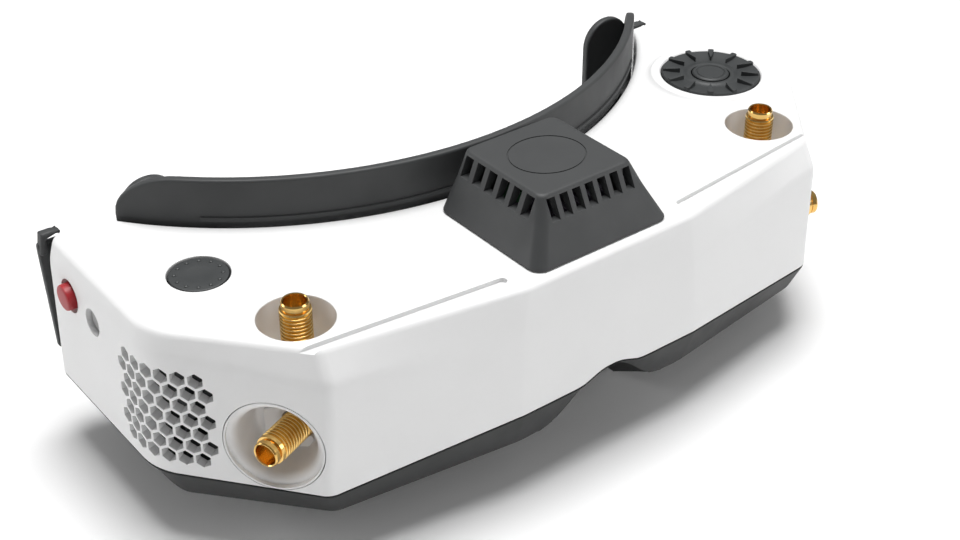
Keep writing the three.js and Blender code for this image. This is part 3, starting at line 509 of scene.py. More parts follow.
def groove():
    start, end = Vector((24.1, -33.1)), Vector((69.2, -28.6))
    length, turn = (end - start).length, math.atan2(end.y - start.y, end.x - start.x)
    outline = arc((0, 0), 1.0, 90, 270, 8) + arc((length, 0), 1.0, -90, 90, 8)
    place = Matrix.Translation(Vector((*start, 0))) @ Matrix.Rotation(turn, 4, "Z")
    return prism("groove", outline, TOP_Z - 0.9, TOP_Z + 2, place)


def both(obj):
    return [obj, mirrored(obj, obj.name + "_left")]


def face_sector(name, inner, outer, half_x, z0, z1, steps=72):
    reach = math.asin(half_x / outer)
    turns = [reach * (2 * i / steps - 1) for i in range(steps + 1)]
    front = [(outer * math.sin(a), REAR_CENTRE_Y - outer * math.cos(a)) for a in turns]
    back = [(inner * math.sin(a), REAR_CENTRE_Y - inner * math.cos(a)) for a in reversed(turns)]
    return prism(name, front + back, z0, z1)


def side_hole(sign, place):
    return rod("side_hole", (sign * 84, place["y"], place["z"]), (sign, 0, 0), 8, place["hole"], 48)


def make_upper_shell():
    shell = shell_blank()
    tube = rod("pocket", (POCKET["x"], POCKET["y"], POCKET["floor"] - POCKET["wall"]), UP,
               TOP_Z - 1 - POCKET["floor"] + POCKET["wall"], POCKET["radius"] + POCKET["wall"], 64)
    boss_r = DIAL["boss"]
    boss_profile = [(0, -1), (boss_r + 0.5, -1), (boss_r + 0.5, 0.02), (boss_r, 0.1), (boss_r - 0.5, 0.4),
                    (boss_r - 0.9, 0.75), (boss_r - 1.6, 0.9), (0, 0.9)]
    boss = turned("boss", boss_profile, upright(DIAL["x"], DIAL["y"], TOP_Z), 96)
    boolean(shell, both(tube), "UNION")
    boolean(shell, [boss], "UNION")
    window = face_sector("window", REAR_RADIUS - 6, REAR_RADIUS + WALL + 0.1, 70, 10, 45.7)
    boolean(shell, [window])
    hole_r = DIAL["radius"] + GAP
    hole_profile = [(0, -4), (hole_r, -4), (hole_r, 0.6), (hole_r + 0.3, 0.9), (DIAL["radius"] + 0.9, 3),
                    (0, 3)]
    dial_hole = turned("dial_hole", hole_profile, upright(DIAL["x"], DIAL["y"], TOP_Z), 96)
    below_pocket = (POCKET["x"], POCKET["y"], POCKET["floor"] - 5)
    nut_hole = rod("nut_hole", below_pocket, UP, 6, JACK["radius"] + GAP, 48)
    boolean(shell, both(hole(POCKET["x"], POCKET["y"], POCKET["radius"], POCKET["floor"]))
            + [hole(NAV["x"], NAV["y"], NAV["radius"] + GAP, TOP_Z - 4, 0.25), dial_hole,
               box("vent", -12.5, 12.5, -31, -8.5, TOP_Z - 4, TOP_Z + 2)] + both(groove()))
    cells = honeycomb()
    cup_hole = cheek_rod(CUP["radius"] + GAP * 0.6, -4, 4)
    end_holes = [side_hole(-1, POWER), side_hole(-1, RECORD), side_hole(1, POWER_INLET)]
    yz_to_end = Matrix(((0, 0, 1, 0), (1, 0, 0, 0), (0, 1, 0, 0), (0, 0, 0, 1)))
    port = prism("port", round_rect(9.5, 20.5, 27.4, 32.6, 1.6), 84, 92, yz_to_end)
    boolean(shell, both(nut_hole) + both(cells) + both(cup_hole) + [*end_holes, port])
    return smooth(shell, 28)


# ---------------------------------------------------------------- lower cover
NOSE_FRONT = [(0, 19.9), (2.9, 19.4), (5.6, 18), (7.8, 16), (10.2, 13.9), (12.9, 12.2), (16.5, 10), (18, -6)]
NOSE_REAR = [(0, 24), (4, 23.6), (8, 22), (11.5, 19.2), (14, 16), (16, 12.5), (18, 7), (19, -6)]
SCREWS = [(-54, 4), (54, 4), (-23.2, -12), (23.2, -12)]


def softened(profile, rounds=2):
    """Corner-cut version of a half profile that keeps its ends."""
    for _ in range(rounds):
        cut = [profile[0]]
        for (x0, z0), (x1, z1) in zip(profile, profile[1:]):
            cut += [(0.75 * x0 + 0.25 * x1, 0.75 * z0 + 0.25 * z1),
                    (0.25 * x0 + 0.75 * x1, 0.25 * z0 + 0.75 * z1)]
        profile = cut + [profile[-1]]
    return profile


def nose_tunnel(grow):
    def outline(profile, y):
        right = [Vector((x + grow * 0.8 * (x > 0), y, z + grow)) for x, z in softened(profile)]
        return right + [Vector((-p.x, p.y, p.z)) for p in reversed(right[1:])]
    columns = list(zip(outline(NOSE_FRONT, -48), outline(NOSE_REAR, 14)))
    return woven("nose_tunnel", columns)


def panel_outline(grow):
    right = [(54 + grow / 2, 4.3 - grow), (71 + grow, 18.5 - grow / 2), (71 + grow, 45.3)]
    return [(-x, z) for x, z in reversed(right)] + right


def make_lower_cover():
    seam, strip, belly = ring(SEAM_LEVEL), ring(STRIP_LEVEL), ring(BELLY_LEVEL)
    seam = [Vector((p.x, p.y, p.z - GAP)) for p in seam]
    columns = []
    for points in zip(inset(belly, WALL, WALL), inset(strip, WALL, 1), inset(seam, WALL), seam, strip, belly,
                      inset(belly, 2.5)):
        columns.append(rounded(list(points), [0, 0.2, 0.3, 0.9, 3.5], 4))
    cover = woven("lower_cover_skin", columns)
    inner = []
    for points in zip(inset(seam, WALL + 0.6), inset(strip, 0.1), belly):
        raised = points[0].copy()
        raised.z = 30
        inner.append([raised, *points])
    filled = woven("filled", inner)
    wall = nose_tunnel(1.8)
    boolean(wall, [filled], "INTERSECT")
    boolean(cover, [wall], "UNION")
    opening = face_sector("opening", REAR_RADIUS - 8, REAR_RADIUS + 6.5, 72, 2, 42)
    boolean(opening, [prism("panel_outline", panel_outline(GAP), -50, 20, facing_wearer(0))], "INTERSECT")
    slots = [box("slot", s * EYE[0] - 6.6, s * EYE[0] + 6.6, -14, -7, -1, 6) for s in (-1, 1)]
    heads = [rod("head", (x, y, -1), UP, 3.1, 2.8, 32) for x, y in SCREWS]
    boolean(cover, [nose_tunnel(0)])
    boolean(cover, [opening])
    boolean(cover, slots + heads)
    return smooth(cover, 30)


# ---------------------------------------------------------------- rear panel and faceplate
def make_rear_panel():
    half_height = 17.2
    half_width = half_height + 3.2
    eyes = [round_rect(x - half_width, x + half_width, EYE[1] - half_height, EYE[1] + half_height, 17.1, 20)
            for x in (-EYE[0], EYE[0])]
    nose = [(x * 1.02 + 1.9, z + 2.3) for x, z in softened(NOSE_REAR) if z > 1.5]
    notch = [(-x, z) for x, z in reversed(nose)] + nose
    outline = panel_outline(0)
    outline = outline[:3] + [(notch[0][0], 4.3)] + notch + [(notch[-1][0], 4.3)] + outline[3:]
    middle = REAR_RADIUS + WALL + GAP + 0.9
    panel = plate("rear_panel_skin", [outline, *eyes], 1.8, 0.3, facing_wearer(0))
    return smooth(wrapped(panel, middle, 72), 30)


def make_faceplate():
    half_x, top = 71.6, 59.4
    nose = softened([(0, 25), (11, 23.5), (15, 14), (17, 8), (18.8, 0)], 3)
    outline = round_rect(-half_x, half_x, 0, top, 9.4) + [(-x, z) for x, z in reversed(nose)] + nose
    windows = [round_rect(a, b, 9, 47.5, 12, 14) for a, b in ((-62, -11), (11, 62))]
    band = plate("band", [outline, *windows], 2.0, 0.55, facing_wearer(0))
    wrapped(band, 89.6, half_x)
    lobes = []
    for sign in (-1, 1):
        xs = sorted((sign * 57.4, sign * 71.0))
        lobes.append(plate("lobe", [round_rect(*xs, 7.5, 55.4, 6.6)], 1.9, 0.5, facing_wearer(35.85)))
    ledge = face_sector("ledge", 90.4, 91.0, 60, 49.9, 50.8)
    return smooth(joined("faceplate_skin", [band, *lobes, ledge]), 40)


# ---------------------------------------------------------------- top cover
def cover_ring(half_x, y0, y1, z, radius):
    return [Vector((x, y, z)) for x, y in round_rect(-half_x, half_x, y0, y1, radius, 6)]


def cover_blank(shrink, drop):
    base = cover_ring(18 - shrink, -36.4 + shrink, -3.6 - shrink, COVER["base"] - drop, 3.0)
    crease = cover_ring(14.2 - shrink, -32.6 + shrink, -4.4 - shrink, COVER["crease"], 2.4)
    top = cover_ring(12.1 - shrink, -29.9 + shrink, -5 - shrink, COVER["top"] - shrink, 2.0)
    middle = Vector((0, -17.45, 0))
    flat = [p + (middle - p).xy.to_3d().normalized() * 1.6 for p in top]
    foot = [p + (middle - p).xy.to_3d().normalized() * 1.2 for p in base]
    columns = [rounded(list(points), [0.4, 0.9, 0.8], 4) for points in zip(foot, base, crease, top, flat)]
    return woven("cover", columns)


def make_top_cover():
    cover = cover_blank(0, 0)
    low, high = COVER["crease"] + 0.2, COVER["top"] - 0.75
    front_slots, side_slots = [], []
    for i in range(7):
        x = (i - 3) * 3.3
        front_slots.append(box("slot", x - 1.05, x + 1.05, -40, 0, low, high))
    for i in range(6):
        y = -17.6 + (i - 2.5) * 3.9
        side_slots.append(box("slot", -20, 20, y - 1.25, y + 1.25, low, high))
    oval = ring_prism("oval", (0, -17.4), (8.2, 7.4), 0.35, COVER["top"] - 0.2, COVER["top"] + 1)
    boolean(cover, [cover_blank(COVER["wall"], 1)])
    boolean(cover, front_slots)
    boolean(cover, side_slots)
    boolean(cover, [oval])
    return smooth(cover, 28)


def ring_prism(name, centre, radii, width, low, high, steps=64):
    """Thin oval band between two heights."""
    points, faces = [], []
    for grow, z in ((0, low), (width, low), (width, high), (0, high)):
        for i in range(steps):
            turn = 2 * math.pi * i / steps
            x = centre[0] + (radii[0] + grow) * math.cos(turn)
            points.append((x, centre[1] + (radii[1] + grow) * math.sin(turn), z))
    for k in range(4):
        for i in range(steps):
            a, b, j = k * steps, ((k + 1) % 4) * steps, (i + 1) % steps
            faces.append((a + i, a + j, b + j, b + i))
    return new_object(name, points, faces)


# ---------------------------------------------------------------- connectors
def make_jack(name, length, matrix):
    """Threaded connector: fine thread rings, smooth collar at the mouth, blind bore."""
    sides, pitch, depth = 64, 0.8, 0.42
    collar = 1.2
    threaded = length - collar - 0.5
    radius, bore, rim = JACK["radius"], JACK["bore"], JACK["rim"]
    profile = [(radius, 0)]
    for turn in range(int(threaded / pitch)):
        foot = turn * pitch
        profile += [(radius, foot + 0.22 * pitch), (radius - depth, foot + 0.5 * pitch),
                    (radius - depth, foot + 0.62 * pitch), (radius, foot + 0.9 * pitch)]
    profile.append((radius - 0.1, threaded))
    neck = [(rim - 0.2, threaded + 0.12), (rim - 0.2, threaded + 0.36), (rim, threaded + 0.46),
            (rim, length - 0.3), (rim - 0.2, length), (bore + 0.15, length), (bore, length - 0.15),
            (bore, length - 3.2)]
    rows = [(0, 0), *profile, *neck, (0, length - 3.2)]
    return smooth(turned(name, rows, matrix, sides), 30)


def side_jack_frame(sign):
    angle = math.radians(SIDE_JACK["angle"])
    direction = Vector((sign * math.cos(angle), -math.sin(angle), 0))
    tip = Vector((sign * SIDE_JACK["tip"].x, SIDE_JACK["tip"].y, SIDE_JACK["tip"].z))
    return along(direction, tip - direction * SIDE_JACK["length"]), direction


def make_nut(name, matrix):
    inner = JACK["radius"] + 0.2
    profile = [(inner, 0), (4.3, 0), (4.6, 0.25), (4.6, 1.75), (4.3, 2), (inner, 2)]
    return smooth(turned(name, profile, matrix, 6, closed=True), 20)


def make_cup():
    r, floor = CUP["radius"], CUP["floor"]
    place = along(CHEEK_NORMAL, CUP["centre"])
    outside = [(0, -CUP["depth"]), (8.4, -CUP["depth"]), (r, -3), (r, 4), (0, 4)]
    body = turned("antenna_cup_skin", outside, place, 96)
    boolean(body, [outside_blank()], "INTERSECT")
    turns = [math.radians(15 * k) for k in range(7)]
    lip = [(r - 0.4 - 1.9 * math.cos(a), -0.1 - 2.6 * (1 - math.sin(a))) for a in turns]
    wall = [(5.6, -floor), (6.4, -floor + 0.3), (7.1, -floor + 1.1)]
    dish = turned("dish", [(0, -floor), *wall, *lip, (r - 0.1, 6), (0, 6)], place, 96)
    boolean(body, [dish])
    _, direction = side_jack_frame(1)
    bore_start = SIDE_JACK["tip"] - direction * 30
    boolean(body, [rod("bore", bore_start, direction, 40, JACK["radius"] + GAP, 48)])
    corners = [(-5.4, -3.6), (-4.2, -5.6), (0.9, -5.9), (4.6, -3.2), (4.8, 2.4), (0.2, 3.6)]
    facing = Matrix((Vector((-CHEEK_NORMAL.y, CHEEK_NORMAL.x, 0)), UP, CHEEK_NORMAL)).transposed().to_4x4()
    facing.translation = CUP["centre"] - CHEEK_NORMAL * (floor - 0.35)
    panel = plate("panel", [rounded_polygon(corners, 0.5)], 0.8, 0.25, facing)
    boolean(panel, [rod("bore", bore_start, direction, 40, JACK["radius"] + GAP, 48)])
    return smooth(joined("antenna_cup_skin", [body, panel]), 38)


# ---------------------------------------------------------------- controls
def make_nav_button():
    r = NAV["radius"]
    disc = turned("disc", [(0, -2.4), (r, -2.4), (r, -0.5), (r - 0.15, -0.2), (r - 0.45, -0.1), (3.4, -0.12),
                           (2.8, -0.22), (0, -0.3)], upright(NAV["x"], NAV["y"], TOP_Z), 72)
    bumps = []
    for i in range(12):
        turn = math.radians(30 * i)
        place = upright(NAV["x"] + 4.8 * math.cos(turn), NAV["y"] + 4.8 * math.sin(turn), TOP_Z)
        profile = [(0, -0.3), (0.45, -0.3), (0.42, -0.02), (0.28, 0.1), (0, 0.15)]
        bumps.append(turned("bump", profile, place, 16))
    return smooth(joined("nav_button_skin", [disc, *bumps]), 35)


def make_dial():
    r, inner = DIAL["radius"], DIAL["button"] + GAP
    place = upright(DIAL["x"], DIAL["y"], TOP_Z)
    rim = [(r, -1.8), (r, 0.75), (r - 0.25, 1.1), (r - 0.7, 1.15)]
    slope = [(r - 2.2, 0.85), (r - 4.5, 0.6)]
    lip = [(inner + 1.4, 0.65), (inner + 1.1, 0.85), (inner + 0.4, 0.95), (inner, 0.8)]
    profile = [(inner, -2.6), (r - 0.8, -2.6), *rim, *slope, *lip]
    dish = turned("dish", profile, place, 120, closed=True)
    fins = []
    for i in range(12):
        turn = Matrix.Rotation(math.radians(30 * i + 15), 4, "Z")
        half = [(7.3, -0.12), (10.2, -0.62), (r - 0.45, -0.72), (r - 0.15, -0.5)]
        outline = half + [(x, -y) for x, y in reversed(half)]
        centre = Matrix.Translation(Vector((DIAL["x"], DIAL["y"], TOP_Z)))
        fin = prism("fin", outline, 0.5, 1.75, centre @ turn)
        fins.append(bevelled(fin, 0.22, 2, 40))
    return smooth(joined("dial_skin", [dish, *fins]), 35)


def make_dial_button():
    r = DIAL["button"]
    profile = [(0, -2.6), (r, -2.6), (r, 0.9), (r - 0.2, 1.15), (r - 0.5, 1.25), (r - 0.85, 1.22),
               (r - 1.0, 1.02), (r - 1.2, 1.0), (r - 1.35, 1.15), (0, 1.2)]
    return smooth(turned("dial_button_skin", profile, upright(DIAL["x"], DIAL["y"], TOP_Z), 96), 35)


def left_wall(place):
    return along((-1, 0, 0), (-WALL_X + 4.4, place["y"], place["z"]))


def make_power_button():
    r, flange = POWER["radius"], POWER["hole"] + 0.5
    profile = [(0, 0), (flange, 0), (flange, 1.2), (r + 0.15, 1.3), (r, 5.6), (r - 0.1, 5.85),
               (r - 0.35, 6.0), (r - 0.8, 6.05), (0, 6.1)]
    return smooth(turned("power_button_skin", profile, left_wall(POWER), 72), 35)


def make_record_button():
    r, flange = RECORD["radius"], RECORD["hole"] + 0.5
    profile = [(0, 0), (flange, 0), (flange, 1.2), (r, 1.2), (r, 3.3), (r - 0.15, 3.45), (r - 0.4, 3.5),
               (1.6, 3.25), (0.6, 3.12), (0, 3.1)]
    return smooth(turned("record_button_skin", profile, left_wall(RECORD), 72), 35)


def rounded_polygon(corners, radius):
    """Closed outline with each corner eased by the same radius."""
    points = [Vector(corner) for corner in corners]
    start = points[-1].lerp(points[0], 0.5)
    line = rounded([start, *points, start], [radius] * len(points), 4)
    return [tuple(point) for point in line[:-1]]


def make_bracket():
    """Stamped strap clip: tapered sheet with a slot, two tabs into the housing and a curled tongue."""
    sheet = rounded_polygon([(76.4, 20), (CLIP_EDGE, 20), (CLIP_EDGE, 46.4), (75.5, 46.4), (75.5, 44)], 0.8)
    slot = round_rect(80.2, 85, 26.5, 43.5, 1.6, 6)
    back = plate("clip_sheet", [sheet, slot], 1.3, 0.3, facing_wearer(39.7))
    tongue = [(75.5, 44), (77.1, 44), (77.3, 47.5), (80.7, 48.4), (78.8, 49), (76.2, 49)]
    curl = plate("clip_curl", [rounded_polygon(tongue, 0.4)], 2.2, 0.5, facing_wearer(39.2))
    low = bevelled(box("leg", 78, 87.2, 37.5, 39.2, 20.6, 23.2), 0.3)
    high = bevelled(box("leg", 78, 87.2, 37.5, 39.2, 44, 46), 0.3)
    return smooth(joined("strap_bracket_skin_right", [back, curl, low, high]), 35)


def shifted(obj, name, x):
    moved = copied(obj)
    moved.name = name
    moved.data.transform(Matrix.Translation((x * MM, 0, 0)))
    return moved


# ---------------------------------------------------------------- optics
def eye_place(sign, y):
    return along(TO_EYE, (sign * EYE[0], y, EYE[1]))


def make_focus_ring(sign, name):
    profile = [(12.9, 0), (15.0, 0), (15.4, 0.35), (15.4, 4.4), (15.0, 4.9), (14.6, 5.2), (13.3, 5.2),
               (12.9, 4.9)]
    grip = turned(name, profile, eye_place(sign, -5.2), 112, closed=True)
    edit = bmesh.new()
    edit.from_mesh(grip.data)
    centre = Vector((sign * EYE[0], 0, EYE[1])) * MM
    for vert in edit.verts:
        out = Vector((vert.co.x - centre.x, 0, vert.co.z - centre.z))
        if out.length > 14.9 * MM:
            turn = math.atan2(out.z, out.x)
            vert.co -= out.normalized() * 0.45 * MM * (math.cos(turn * 28) > 0.2)
    edit.to_mesh(grip.data)
    edit.free()
    return smooth(grip, 40)


def make_lens(sign, name):
    edge = 11.6
    radii = (2, 4, 6, 8, 10, edge)
    profile = [(0, -1.6)] + [(r, -1.6 + 1.6 * (r / edge) ** 2) for r in radii]
    profile += [(12.1, 0.2), (12.1, 3.8)]
    profile += [(r, 5.6 - 1.8 * (r / edge) ** 2) for r in reversed(radii)] + [(0, 5.6)]
    return smooth(turned(name, profile, eye_place(sign, -6.4), 96), 40)


# ---------------------------------------------------------------- materials
def node_material(name, colour, roughness, metallic=0.0, specular=0.5, coat=0.0, ior=1.5):
    material = bpy.data.materials.new(name)
    material.use_nodes = True
    shader = material.node_tree.nodes["Principled BSDF"]
    shader.inputs["Base Color"].default_value = (*colour, 1)
    shader.inputs["Roughness"].default_value = roughness
    shader.inputs["Metallic"].default_value = metallic
    shader.inputs["IOR"].default_value = ior
    shader.inputs["Specular IOR Level"].default_value = specular
    shader.inputs["Coat Weight"].default_value = coat
    return material, material.node_tree.nodes, material.node_tree.links, shader


def noise(nodes, links, scale, detail=3.0, roughness=0.55, stretch=(1, 1, 1)):
    place = nodes.new("ShaderNodeTexCoord")
    mapping = nodes.new("ShaderNodeMapping")
    mapping.inputs["Scale"].default_value = stretch
    texture = nodes.new("ShaderNodeTexNoise")
    texture.inputs["Scale"].default_value = scale
    texture.inputs["Detail"].default_value = detail
    texture.inputs["Roughness"].default_value = roughness
    links.new(place.outputs["Object"], mapping.inputs["Vector"])
    links.new(mapping.outputs["Vector"], texture.inputs["Vector"])
    return texture.outputs["Fac"]


def spread(nodes, links, value, low, high, start=0.3, stop=0.7):
    """Maps a value to a range."""
    remap = nodes.new("ShaderNodeMapRange")
    remap.inputs["From Min"].default_value = start
    remap.inputs["From Max"].default_value = stop
    remap.inputs["To Min"].default_value = low
    remap.inputs["To Max"].default_value = high
    links.new(value, remap.inputs["Value"])
    return remap.outputs["Result"]


def mixed(nodes, links, factor, a, b):
    mix = nodes.new("ShaderNodeMix")
    mix.data_type = "RGBA"
    links.new(factor, mix.inputs["Factor"])
    for socket, value in ((mix.inputs[6], a), (mix.inputs[7], b)):
        if isinstance(value, tuple):
            socket.default_value = (*value, 1)
        else:
            links.new(value, socket)
    return mix.outputs[2]


def bumped(nodes, links, shader, height, strength, distance):
    bump = nodes.new("ShaderNodeBump")
    bump.inputs["Strength"].default_value = strength
    bump.inputs["Distance"].default_value = distance * MM
    links.new(height, bump.inputs["Height"])
    links.new(bump.outputs["Normal"], shader.inputs["Normal"])


def moulded(name, colour, roughness, grain=0.12, contrast=0.04, specular=0.5, grain_size=0.22,
            painted_shade_tint=0.72):
    """Injection-moulded plastic: fine grain, faint cloudiness, smoother worn patches, painted shade
    darkening corners and recesses.
    """
    material, nodes, links, shader = node_material(name, colour, roughness, specular=specular)
    cloud = noise(nodes, links, 45, 4)
    fine = noise(nodes, links, 1000 / grain_size, 2)
    dark = tuple(c * (1 - contrast) for c in colour)
    light = tuple(min(1.0, c * (1 + contrast)) for c in colour)
    tinted = mixed(nodes, links, spread(nodes, links, cloud, 0, 1), dark, light)
    # Painted shade: ambient occlusion darkens the base colour towards the tint in corners and recesses.
    painted_shade_ao = nodes.new("ShaderNodeAmbientOcclusion")
    painted_shade_ao.samples = 4
    painted_shade_ao.inputs["Distance"].default_value = 1.6 * MM
    links.new(tinted, painted_shade_ao.inputs["Color"])
    links.new(mixed(nodes, links, spread(nodes, links, painted_shade_ao.outputs["AO"], 0.35, 0, 0.2, 0.9), tinted,
                    tuple(c * painted_shade_tint for c in colour)), shader.inputs["Base Color"])
    polish = noise(nodes, links, 130, 5)
    links.new(spread(nodes, links, polish, roughness - 0.05, roughness + 0.06), shader.inputs["Roughness"])
    bumped(nodes, links, shader, fine, grain, 0.03)
    return material


def gold_plate():
    material, nodes, links, shader = node_material("gold_plate", (0.80, 0.52, 0.17), 0.2, metallic=1.0)
    cloud = noise(nodes, links, 300, 2)
    worn = mixed(nodes, links, spread(nodes, links, cloud, 0, 1), (0.72, 0.44, 0.13), (0.88, 0.60, 0.22))
    links.new(worn, shader.inputs["Base Color"])
    links.new(spread(nodes, links, noise(nodes, links, 500, 2), 0.15, 0.24), shader.inputs["Roughness"])
    bumped(nodes, links, shader, noise(nodes, links, 1500, 2), 0.004, 0.005)
    return material


def metal(name, colour, roughness, stretch=(1, 1, 1)):
    material, nodes, links, shader = node_material(name, colour, roughness, metallic=1.0)
    streak = noise(nodes, links, 900, 3, stretch=stretch)
    tint = mixed(nodes, links, spread(nodes, links, streak, 0, 1), tuple(c * 0.85 for c in colour), colour)
    links.new(tint, shader.inputs["Base Color"])
    links.new(spread(nodes, links, streak, roughness - 0.06, roughness + 0.1), shader.inputs["Roughness"])
    bumped(nodes, links, shader, streak, 0.1, 0.02)
    return material


def circuit():
    material, nodes, links, shader = node_material("circuit_mask", (0.01, 0.12, 0.03), 0.35, coat=0.3)
    cells = nodes.new("ShaderNodeTexVoronoi")
    cells.inputs["Scale"].default_value = 700
    cells.distance = "MANHATTAN"
    place = nodes.new("ShaderNodeTexCoord")
    links.new(place.outputs["Object"], cells.inputs["Vector"])
    pads = spread(nodes, links, cells.outputs["Distance"], 1, 0, 0.1, 0.16)
    base = mixed(nodes, links, noise(nodes, links, 350, 4), (0.006, 0.10, 0.022), (0.02, 0.20, 0.05))
    links.new(mixed(nodes, links, pads, base, (0.55, 0.50, 0.36)), shader.inputs["Base Color"])
    bumped(nodes, links, shader, cells.outputs["Distance"], 0.15, 0.05)
    return material


def glass(name, colour, roughness=0.03):
    material, nodes, links, shader = node_material(name, colour, roughness, ior=1.5)
    shader.inputs["Transmission Weight"].default_value = 1.0
    shader.inputs["Coat Weight"].default_value = 0.4
    shader.inputs["Coat Tint"].default_value = (0.75, 0.8, 1.0, 1)
    links.new(spread(nodes, links, noise(nodes, links, 120, 4), 0.02, 0.06), shader.inputs["Roughness"])
    return material


def screen():
    material, nodes, links, shader = node_material("display_screen", (0.01, 0.011, 0.016), 0.12, coat=0.6)
    links.new(spread(nodes, links, noise(nodes, links, 200, 3), 0.08, 0.18), shader.inputs["Roughness"])
    links.new(mixed(nodes, links, noise(nodes, links, 60, 2), (0.008, 0.009, 0.014), (0.014, 0.014, 0.022)),
              shader.inputs["Base Color"])
    return material


WHITE = moulded("white_shell_plastic", (0.80, 0.80, 0.80), 0.46, grain=0.10, contrast=0.012, painted_shade_tint=0.9)
BLACK = moulded("black_cover_plastic", (0.030, 0.031, 0.031), 0.5, grain=0.2, contrast=0.10, specular=0.35)
GREY = moulded("grey_plate_plastic", (0.045, 0.047, 0.048), 0.55, grain=0.22, contrast=0.08, specular=0.45)
CONTROL = moulded("control_plastic", (0.036, 0.039, 0.040), 0.48, grain=0.16, contrast=0.08)
# Painted shade: the white record button gets a grey colour that stands for the shade of its recess.
RECORD_PAINTED_SHADE_GREY = moulded("record_button_painted_shade_grey", (0.42, 0.42, 0.42), 0.5, grain=0.12, contrast=0.04)
RED = moulded("red_button_plastic", (0.36, 0.012, 0.018), 0.42, grain=0.08, contrast=0.05)
GOLD = gold_plate()
STEEL = metal("port_steel", (0.45, 0.46, 0.47), 0.32, (1, 1, 6))
HEATSINK = metal("heatsink_alloy", (0.36, 0.33, 0.42), 0.45, (1, 5, 1))
BOARD = circuit()
LENS = glass("lens_glass", (0.93, 0.96, 1.0))
SCREEN = screen()
RUBBER = moulded("foot_rubber", (0.014, 0.015, 0.016), 0.8, grain=0.35, contrast=0.2, specular=0.3,
                 grain_size=0.4)
SLOTS = dict(
    white_plastic=WHITE,
    black_plastic=BLACK,
    grey_plastic=GREY,
    control_plastic=CONTROL,
    red_plastic=RED,
    gold_brass=GOLD,
    port_steel=STEEL,
    heatsink_metal=HEATSINK,
    circuit_board=BOARD,
    display_glass=SCREEN,
    lens_glass=LENS,
    foot_rubber=RUBBER,
)


# ---------------------------------------------------------------- placing pieces on the frame
def place(obj, body, slot, *nodes):
    obj.data.materials.clear()
    obj.data.materials.append(SLOTS[slot])
    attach(obj, body)
    if nodes:
        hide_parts(*nodes)
    return obj


place(make_upper_shell(), "housing", "white_plastic", "upper_shell")
place(make_lower_cover(), "housing", "black_plastic", "lower_cover")
place(make_rear_panel(), "housing", "black_plastic", "rear_panel")
place(make_faceplate(), "housing", "grey_plastic", "faceplate")
place(make_top_cover(), "housing", "grey_plastic", "top_cover")
place(make_nav_button(), "nav", "control_plastic", "nav_button")
place(make_dial(), "dial", "control_plastic", "dial_knob")
place(make_dial_button(), "dial_centre", "control_plastic", "dial_button")
place(make_power_button(), "power", "red_plastic", "power_button")
record_button = place(make_record_button(), "record", "white_plastic", "record_button")
# Painted shade: the grey material stands in for the recess shade on the record button.
record_button.data.materials[0] = RECORD_PAINTED_SHADE_GREY

right_cup = make_cup()
right_bracket = make_bracket()
cups = dict(right=right_cup, left=mirrored(right_cup, "antenna_cup_skin_left"))
right_cup.name = "antenna_cup_skin_right"
brackets = dict(right=right_bracket, left=shifted(right_bracket, "strap_bracket_skin_left", -CLIP_SPACING))
jack_base = POCKET["floor"] - POCKET["wall"]
for side, sign in (("left", -1), ("right", 1)):
    top_place = upright(sign * POCKET["x"], POCKET["y"], jack_base)
    nut_place = upright(sign * POCKET["x"], POCKET["y"], POCKET["floor"] + 0.1)
    top_jack = make_jack(f"antenna_jack_top_skin_{side}", JACK["top"] - jack_base, top_place)
    side_jack = make_jack(f"antenna_jack_side_skin_{side}", SIDE_JACK["length"], side_jack_frame(sign)[0])
    place(top_jack, "housing", "gold_brass", f"antenna_jack_top_{side}")
    place(side_jack, "housing", "gold_brass", f"antenna_jack_side_{side}")
    nut = make_nut(f"antenna_nut_top_skin_{side}", nut_place)
    place(nut, "housing", "gold_brass", f"antenna_nut_top_{side}")
    place(cups[side], "housing", "white_plastic", f"antenna_cup_{side}")
    place(brackets[side], "housing", "grey_plastic", f"strap_bracket_{side}")
    focus_ring = make_focus_ring(sign, f"focus_ring_skin_{side}")
    place(focus_ring, f"focus_{side}", "grey_plastic", f"focus_ring_{side}")
    lens = make_lens(sign, f"eyepiece_lens_skin_{side}")
    place(lens, f"lens_{side}", "lens_glass", f"eyepiece_lens_{side}")

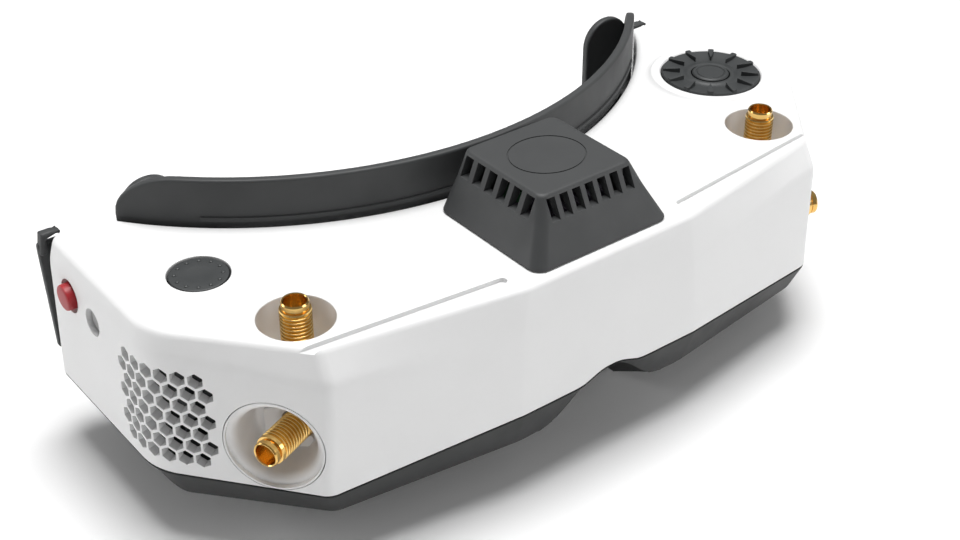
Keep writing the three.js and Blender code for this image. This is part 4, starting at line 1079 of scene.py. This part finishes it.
slot_of = {part["node"]: part["material_slot"] for part in frame["record"]["subparts"]}
for name, obj in frame["nodes"].items():
    if not obj.hide_render:
        obj.data.materials.clear()
        obj.data.materials.append(SLOTS[slot_of[name]])


# ---------------------------------------------------------------- camera, floor and light
CAMERA_PLACE = (-189.2, -237.1, 224.2)
CAMERA_AZIMUTH = 38.03
CAMERA_ELEVATION = 33.32
CAMERA_LENS = 60.63

camera = bpy.data.objects.new("camera", bpy.data.cameras.new("camera"))
camera.data.lens = CAMERA_LENS
camera.data.sensor_width = 36
camera.data.clip_start = 0.01
camera.location = Vector(CAMERA_PLACE) * MM
camera.rotation_euler = (math.radians(90 - CAMERA_ELEVATION), 0, math.radians(-CAMERA_AZIMUTH))
bpy.context.scene.collection.objects.link(camera)
bpy.context.scene.camera = camera

FLOOR = 3000
floor_corners = [(-FLOOR, -FLOOR, 0), (FLOOR, -FLOOR, 0), (FLOOR, FLOOR, 0), (-FLOOR, FLOOR, 0)]
floor = new_object("floor", floor_corners, [(0, 1, 2, 3)])
floor.data.materials.append(node_material("floor_paint", (0.92, 0.92, 0.92), 0.9, specular=0.1)[0])


def soft_light(name, place, target, power, size):
    light = bpy.data.objects.new(name, bpy.data.lights.new(name, "AREA"))
    light.data.energy = power
    light.data.shape = "DISK"
    light.data.size = size
    light.location = place
    light.rotation_euler = (Vector(target) - Vector(place)).to_track_quat("-Z", "Y").to_euler()
    bpy.context.scene.collection.objects.link(light)


soft_light("sky_panel", (0.1, 0.1, 1.1), (0, 0, 0.03), 14, 0.7)
soft_light("front_panel", (0.8, -0.9, 0.45), (0, 0, 0.03), 3.6, 0.6)
soft_light("end_panel", (-0.8, 0.75, 0.35), (0, 0, 0.03), 3.0, 0.5)
world = bpy.data.worlds.new("studio")
world.use_nodes = True
world.node_tree.nodes["Background"].inputs["Color"].default_value = (1, 1, 1, 1)
world.node_tree.nodes["Background"].inputs["Strength"].default_value = 0.22
bpy.context.scene.world = world
bpy.context.scene.view_settings.view_transform = "Standard"
